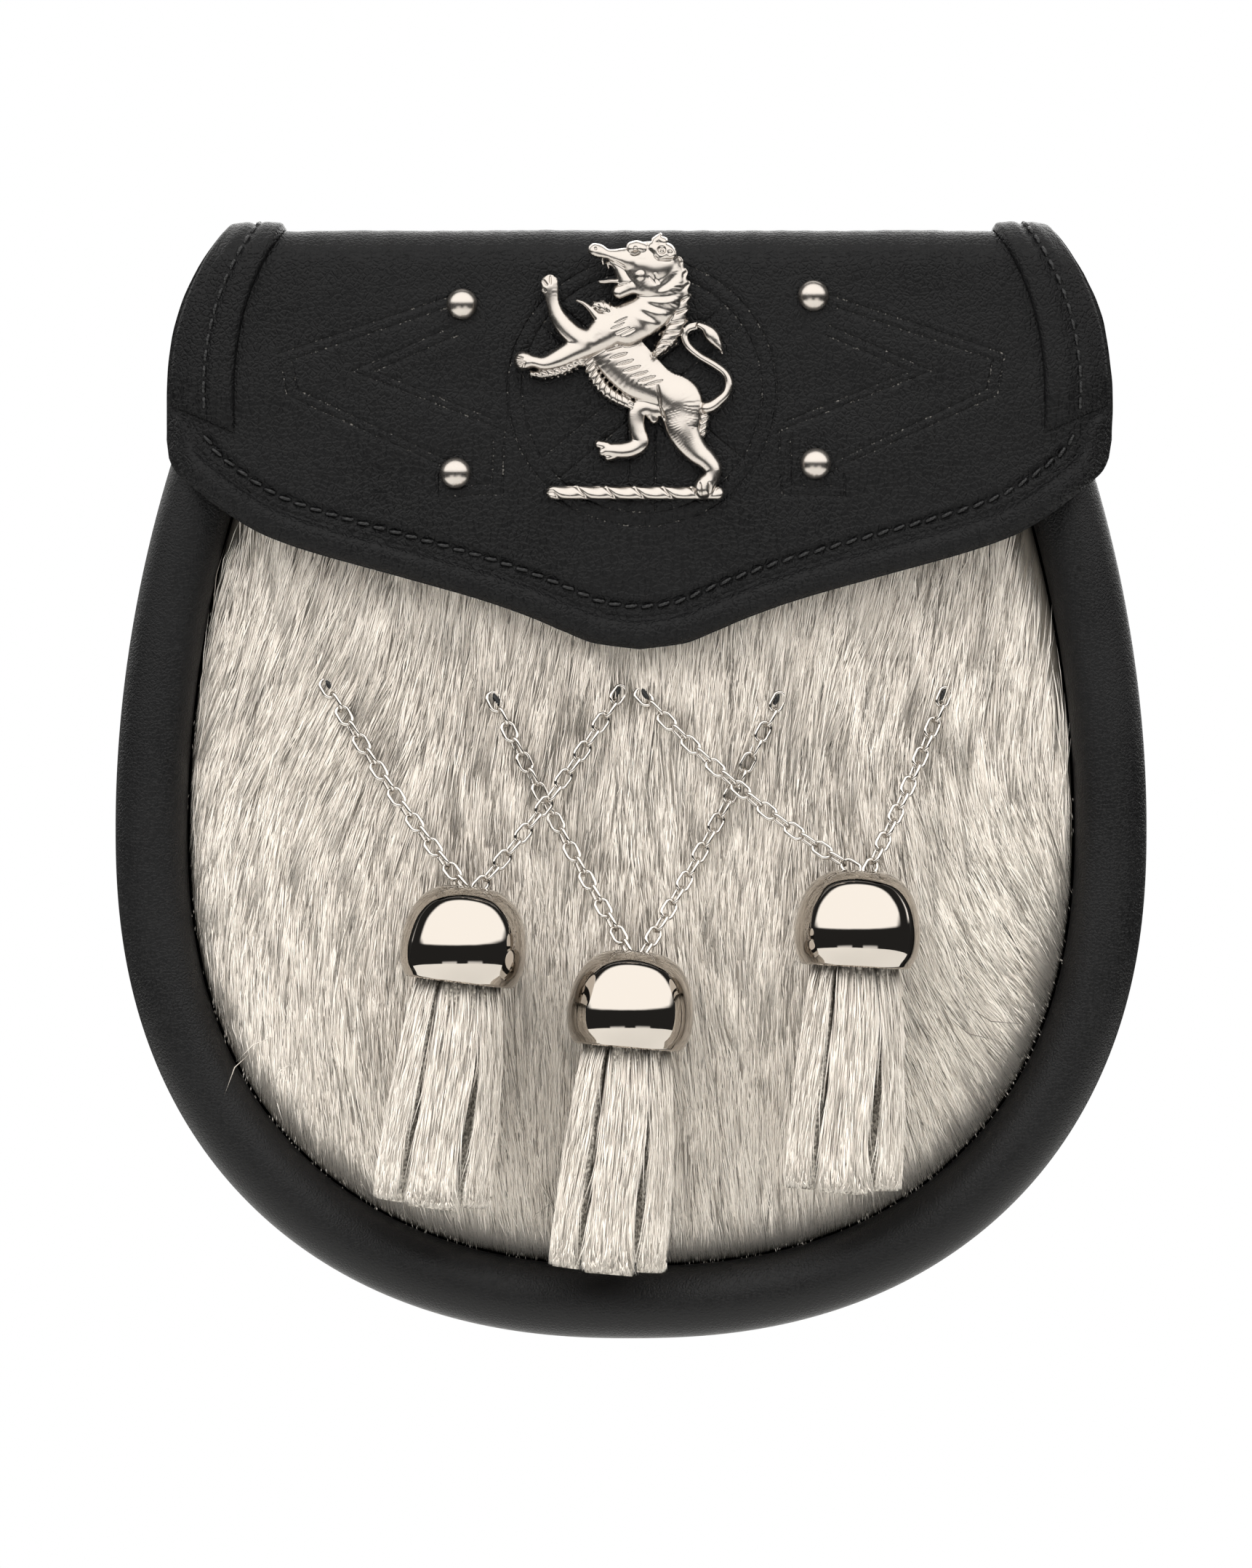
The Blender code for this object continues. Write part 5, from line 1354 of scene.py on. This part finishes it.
def lay_hair(name, low, high, hairs):
    """Locks of hair with roots between two heights, joined into one piece."""
    locks = hairs // LOCK_OF
    span = POUCH_WIDTH / 2 - RIM_WIDTH
    seat = np.stack([draw.uniform(-span, span, locks * 3), draw.uniform(low, high, locks * 3)], axis=1)
    seat = seat[panel_share(seat) < 0.99][:locks]
    turn = lie(seat) + np.radians(draw.normal(0, LOCK_TURN, len(seat)))
    way = np.stack([np.sin(turn), -np.cos(turn)], axis=1)
    beside = -leftward(way)
    reach = draw.uniform(*LOCK_LENGTHS, len(seat))[:, None] * MM
    lock_tone = coat_tone(seat) + draw.normal(0, 0.035, len(seat))
    lock_rise = draw.uniform(0.15, 0.5, len(seat)) * MM

    of = np.repeat(np.arange(len(seat)), LOCK_OF)
    count = len(of)
    jitter = draw.normal(0, HAIR_SPREAD, count)[:, None] * MM * beside[of]
    root = seat[of] + jitter + way[of] * draw.uniform(-3, 3, count)[:, None] * MM
    pull = draw.normal(0, TIP_SPREAD, count)[:, None] * MM
    tip = seat[of] + way[of] * reach[of] + beside[of] * pull
    tip = tip + way[of] * draw.uniform(-6, 3, count)[:, None] * MM
    bow = draw.normal(0, BOW, count)[:, None] * MM
    middle = root * 0.58 + tip * 0.42 + jitter * 0.3 + beside[of] * bow
    there, here = panel_share(tip), panel_share(root)
    limit = 0.988 + 0.016 * draw.random(count)
    keep = np.clip((limit - here) / np.maximum(there - here, 1e-6), 0.05, 1)[:, None]
    keep = np.where((there > limit)[:, None], keep, 1)
    middle, tip = root + (middle - root) * keep, root + (tip - root) * keep
    rise = (lock_rise[of] + draw.uniform(0.0, 0.35, count) * MM) * np.clip(keep[:, 0] * 1.6, 0.2, 1)

    def stand(points, height):
        return stood(points, hide_depth(points) - height)

    out = [draw.normal(0, 0.35, count), np.full(count, -1.0), draw.normal(0, 0.2, count)]
    out = unit(np.stack(out, axis=1))
    dark = draw.random(count) < DARK_SHARE
    tones = lock_tone[of] + draw.normal(0, 0.10, count) - DARK_TONE * dark
    width = draw.uniform(*HAIR_WIDTHS, count) * MM * np.where(dark, 0.8, 1) * np.clip(keep[:, 0] * 1.4, 0.4, 1)
    piece = spindles(name, stand(root, -ROOT_SINK), stand(middle, rise),
                     stand(tip, rise * draw.uniform(0.5, 1.0, count)), out, width, tones, coat_hair)
    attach(piece, "root")
    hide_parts("front_panel")
    return piece


COAT_PARTS = (
    # height from and to, and share of the hairs
    ("low", -160 * MM, -108 * MM, 0.36), ("middle", -108 * MM, -66 * MM, 0.33),
    ("high", -66 * MM, -12 * MM, 0.31),
)
for word, low, high, part in COAT_PARTS:
    piece = lay_hair(f"coat_hair_{word}", low, high, int(HAIRS * part))
    print(word, "hairs", len(piece.data.vertices) // 5)

# %% [markdown]
# Where each chain goes through the hide a short slit was cut. Its dark opening is drawn as a small
# dark blob set just proud of the hide: painted shade for the hole. A few guard hairs, longer than the
# coat, stray over the rim and below the tassels.

# %% Slits and stray hairs
def dot(place, size, turn, sides=16):
    """A flattened ball of the given half sizes, turned in the picture's plane."""
    around, rows = circle(sides), np.radians(np.linspace(-80, 80, 9))
    ball = np.stack([np.cos(rows)[:, None] * np.cos(around), np.repeat(np.sin(rows)[:, None], sides, 1),
                     np.cos(rows)[:, None] * np.sin(around)], axis=-1) * size
    spin = np.array(Matrix.Rotation(turn, 3, "Y"))
    return tube(ball @ spin.T + place)


def join(parts):
    """Joins several closed solids' arrays into one mesh's arrays."""
    points, groups, shift = [], {}, 0
    for own_points, own_faces in parts:
        points.append(own_points)
        for group in own_faces:
            groups.setdefault(group.shape[1], []).append(np.asarray(group) + shift)
        shift += len(own_points)
    return np.concatenate(points), [np.concatenate(group) for group in groups.values()]


# The dark blobs are painted shade: black solids in front of the hide where the holes' shade falls.
SLIT_HALF_SIZES, SLIT_TURN = np.array((0.55, 0.4, 1.25)) * MM, 0.5
hole_shades = []
for across, drop, _, side, _, _ in CHAINS:
    hole = np.array([across - side * 0.3 * MM, -drop + 0.4 * MM])
    hole_shades.append(dot(stood(hole, hide_depth(hole) - 0.5 * MM), SLIT_HALF_SIZES, side * SLIT_TURN))
slits = put_mesh("chain_hole_shade", *join(hole_shades), waxed_thread)
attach(face_out(slits), "root")
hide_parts("front_panel")

STRAYS = (
    # from and to (across, up) in millimetres, how far they stand off the rim, tone
    ((-64, -116), (-72, -121), 7.2, 0.75), ((-68, -118), (-74, -127), 6.8, 0.5),
    ((-60, -120), (-66, -126), 7.4, 0.8), ((-44, -136), (-43, -141), 7.0, 0.7),
    ((57, -112), (67, -117), 3.0, 0.15), ((60, -110), (72, -114), 2.6, 0.1),
    ((-36, -136), (-38, -146), 22.0, 0.8), ((-33, -137), (-34, -143), 22.0, 0.3),
    ((3, -152), (2, -158), 22.0, 0.8), ((44, -137), (43, -143), 21.0, 0.8),
    ((38, -137), (37, -140), 21.0, 0.6), ((-14, -146), (-19, -152), 7.0, 0.5),
)
first, last, off, tone = (np.array([row[k] for row in STRAYS], float) for k in range(4))
bent = (first + last) / 2 - leftward(last - first) * 0.12
depths = hide_depth(first * MM) - np.stack([off * 0.9, off, off * 1.03]) * MM
strand = [stood(places * MM, depth) for places, depth in zip((first, bent, last), depths)]
forward = np.tile((0.0, -1.0, 0.0), (len(first), 1))
strays = spindles("guard_hairs", *strand, forward, np.full(len(first), 0.2 * MM), tone, coat_hair)
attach(strays, "root")

# %% [markdown]
# ## Tassels
# Each tassel is a bundle of strips cut from the same hide, hair side out. The strips' cut edges and
# flesh side show as grey suede between them, and all are cut off square at the foot.

# %% Tassel strips
TASSEL_LENGTH, STRIP_WIDTH, STRIP_THICKNESS = 41 * MM, 6.4 * MM, 2.2 * MM
STRIP_TOP_RADIUS, STRIP_SPLAY = 5.2 * MM, 3.2 * MM
SKIN_LEVEL, ROOT_LEVEL, HAIRS_ON_STRIP = 0.62, 0.45, 1000
STRIPS = ((-88, 1.00, 1.00), (-28, 0.98, 1.10), (34, 0.95, 0.95), (92, 0.97, 0.80), (150, 0.96, 0.95),
          (212, 0.99, 1.15))


def strip_face(row, across, down, thick):
    """A strip's surface: across from -1 to 1, down from 0 to 1, thick from the flesh side out to the hair."""
    angle, length, splay = row
    turn = math.radians(angle)
    out = np.array([math.cos(turn), math.sin(turn), 0])
    side = np.array([-math.sin(turn), math.cos(turn), 0])
    top, foot = -CAP_HEIGHT * 0.72, -CAP_HEIGHT - TASSEL_LENGTH * length
    radius = (STRIP_TOP_RADIUS + STRIP_SPLAY * splay * 0.86 * (1 - (1 - down) ** 2.2)
              + thick * STRIP_THICKNESS * (1 - 0.3 * across**2))
    sway = 0.35 * MM * np.sin(2 * math.pi * (down * 1.1 + angle / 77))
    width = STRIP_WIDTH / 2 * (0.88 + 0.36 * down**0.7) * across + sway
    width = width * (1 + 0.05 * np.sin(9 * down + turn) + 0.03 * np.sin(23 * down + 2 * turn))
    height = top + (foot - top) * down
    return side * width[..., None] + out * radius[..., None] + np.array([0, 0, 1.0]) * height[..., None]


def strip_solid(row):
    """The strip without its hair: a closed sheet of suede."""
    across, down = np.meshgrid(np.linspace(-1, 1, 9), np.linspace(0, 1, 26), indexing="xy")
    return sheet(strip_face(row, across, down, SKIN_LEVEL), strip_face(row, across, down, 0.0))


def tassel_head():
    """The plug inside the cap that carries the strips."""
    profile = ((0.4, 0.02), (2.8, 0.02), (2.8, 0.2), (6.4, 0.42), (6.6, 0.7), (6.4, 0.95), (0.4, 0.95))
    return tube(turned([(r * MM, -CAP_HEIGHT * d) for r, d in profile], 32))


def strip_hair(row, count):
    """Roots, middles, tips and tones of the hair on one strip, in the tassel's own place."""
    down = draw.uniform(0.0, 0.96, count) ** 0.92
    across = draw.uniform(-1, 1, count) * (1.22 - 0.24 * down) - 0.14 * down
    reach = draw.uniform(0.28, 0.5, count)
    drift = draw.normal(0, 0.13, count) * np.where(draw.random(count) < 0.2, 2.2, 1)
    drift = drift + 0.12 * np.sin(across * 4 + down * 5)
    end = np.minimum(down + reach, 1.0 - 0.012 * draw.random(count))
    lift = draw.uniform(0.75, 1.05, count)
    root = strip_face(row, across, np.clip(down, 0, 1), ROOT_LEVEL)
    middle = strip_face(row, across + drift * 0.4, (np.clip(down, 0, 1) + end) / 2, lift)
    tip = strip_face(row, across * 0.96 + drift, end, lift * draw.uniform(0.75, 1.1, count))
    tone = 0.82 + 0.06 * np.sin(across * 7 + down * 4) + draw.normal(0, 0.11, count)
    tone = tone - 0.4 * (draw.random(count) < 0.09)
    turn = math.radians(row[0])
    out = np.tile((math.cos(turn), math.sin(turn), 0.0), (count, 1))
    return root, middle, tip, out, tone


for word, *where in TASSELS:
    place = tassel_place(*where)
    points, faces = join([tassel_head()] + [strip_solid(row) for row in STRIPS])
    strips = put_mesh(f"hide_strips_{word}", placed(points, place), faces, flesh_side)
    laid = zip(*(strip_hair(row, HAIRS_ON_STRIP) for row in STRIPS))
    *strand, out, tone = (np.concatenate(part) for part in laid)
    out = out @ np.array(place.to_3x3()).T
    tassel_hair = spindles(f"tassel_hair_{word}", *(placed(points, place) for points in strand), out,
                           draw.uniform(0.17, 0.32, len(out)) * MM, tone, coat_hair)
    for piece in (strips, tassel_hair):
        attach(piece, "root")
        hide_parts(f"tassel_{word}")
print("hairs on a tassel", len(out))

# %% [markdown]
# ## Strap loops
# The loops behind the pouch carry the waist strap. Each is a strip of the same leather that stands off
# the back between two sewn tabs.

# %% Strap loops
LOOP_OFFSET, LOOP_WIDTH, LOOP_WALL = 52 * MM, 20 * MM, 2 * MM
STRAP_SLOT_HEIGHT, STRAP_SLOT_DEPTH, LOOP_TAB = 26 * MM, 5 * MM, 8 * MM


def loop_solid(across):
    """The strip's middle line as (y, up), thickened both ways and carried across with soft edges."""
    slot, far = STRAP_SLOT_HEIGHT / 2, GAP + STRAP_SLOT_DEPTH
    half = LOOP_WALL / 2
    line = [(GAP + half, slot + LOOP_TAB), (GAP + half, slot + LOOP_WALL), (far + half, slot - half),
            (far + half, 0), (far + half, -slot + half), (GAP + half, -slot - LOOP_WALL),
            (GAP + half, -slot - LOOP_TAB)]
    line = evenly_spaced(np.array(line), 60)
    soft = np.array([line[max(i - 1, 0):i + 2].mean(axis=0) for i in range(len(line))])
    out = leftward(headings(soft))
    out *= np.sign(out[len(out) // 2, 0])
    turn = circle(24)
    wide = np.sign(np.cos(turn)) * np.abs(np.cos(turn)) ** 0.16 * LOOP_WIDTH / 2
    thick = np.sign(np.sin(turn)) * np.abs(np.sin(turn)) ** 0.5 * half
    places = soft[:, None] + out[:, None] * thick[:, None]
    across = np.broadcast_to(across + wide, places.shape[:2])
    return tube(np.concatenate((across[..., None], places), axis=-1))


for side, word in SIDES:
    loop = face_out(put_mesh(f"leather_loop_{word}", *loop_solid(side * LOOP_OFFSET), rim_leather))
    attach(loop, "root")
    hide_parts(f"strap_loop_{word}")

fastener = bpy.data.objects["snap_fastener"]
fastener.data.materials.clear()
fastener.data.materials.append(nickel)
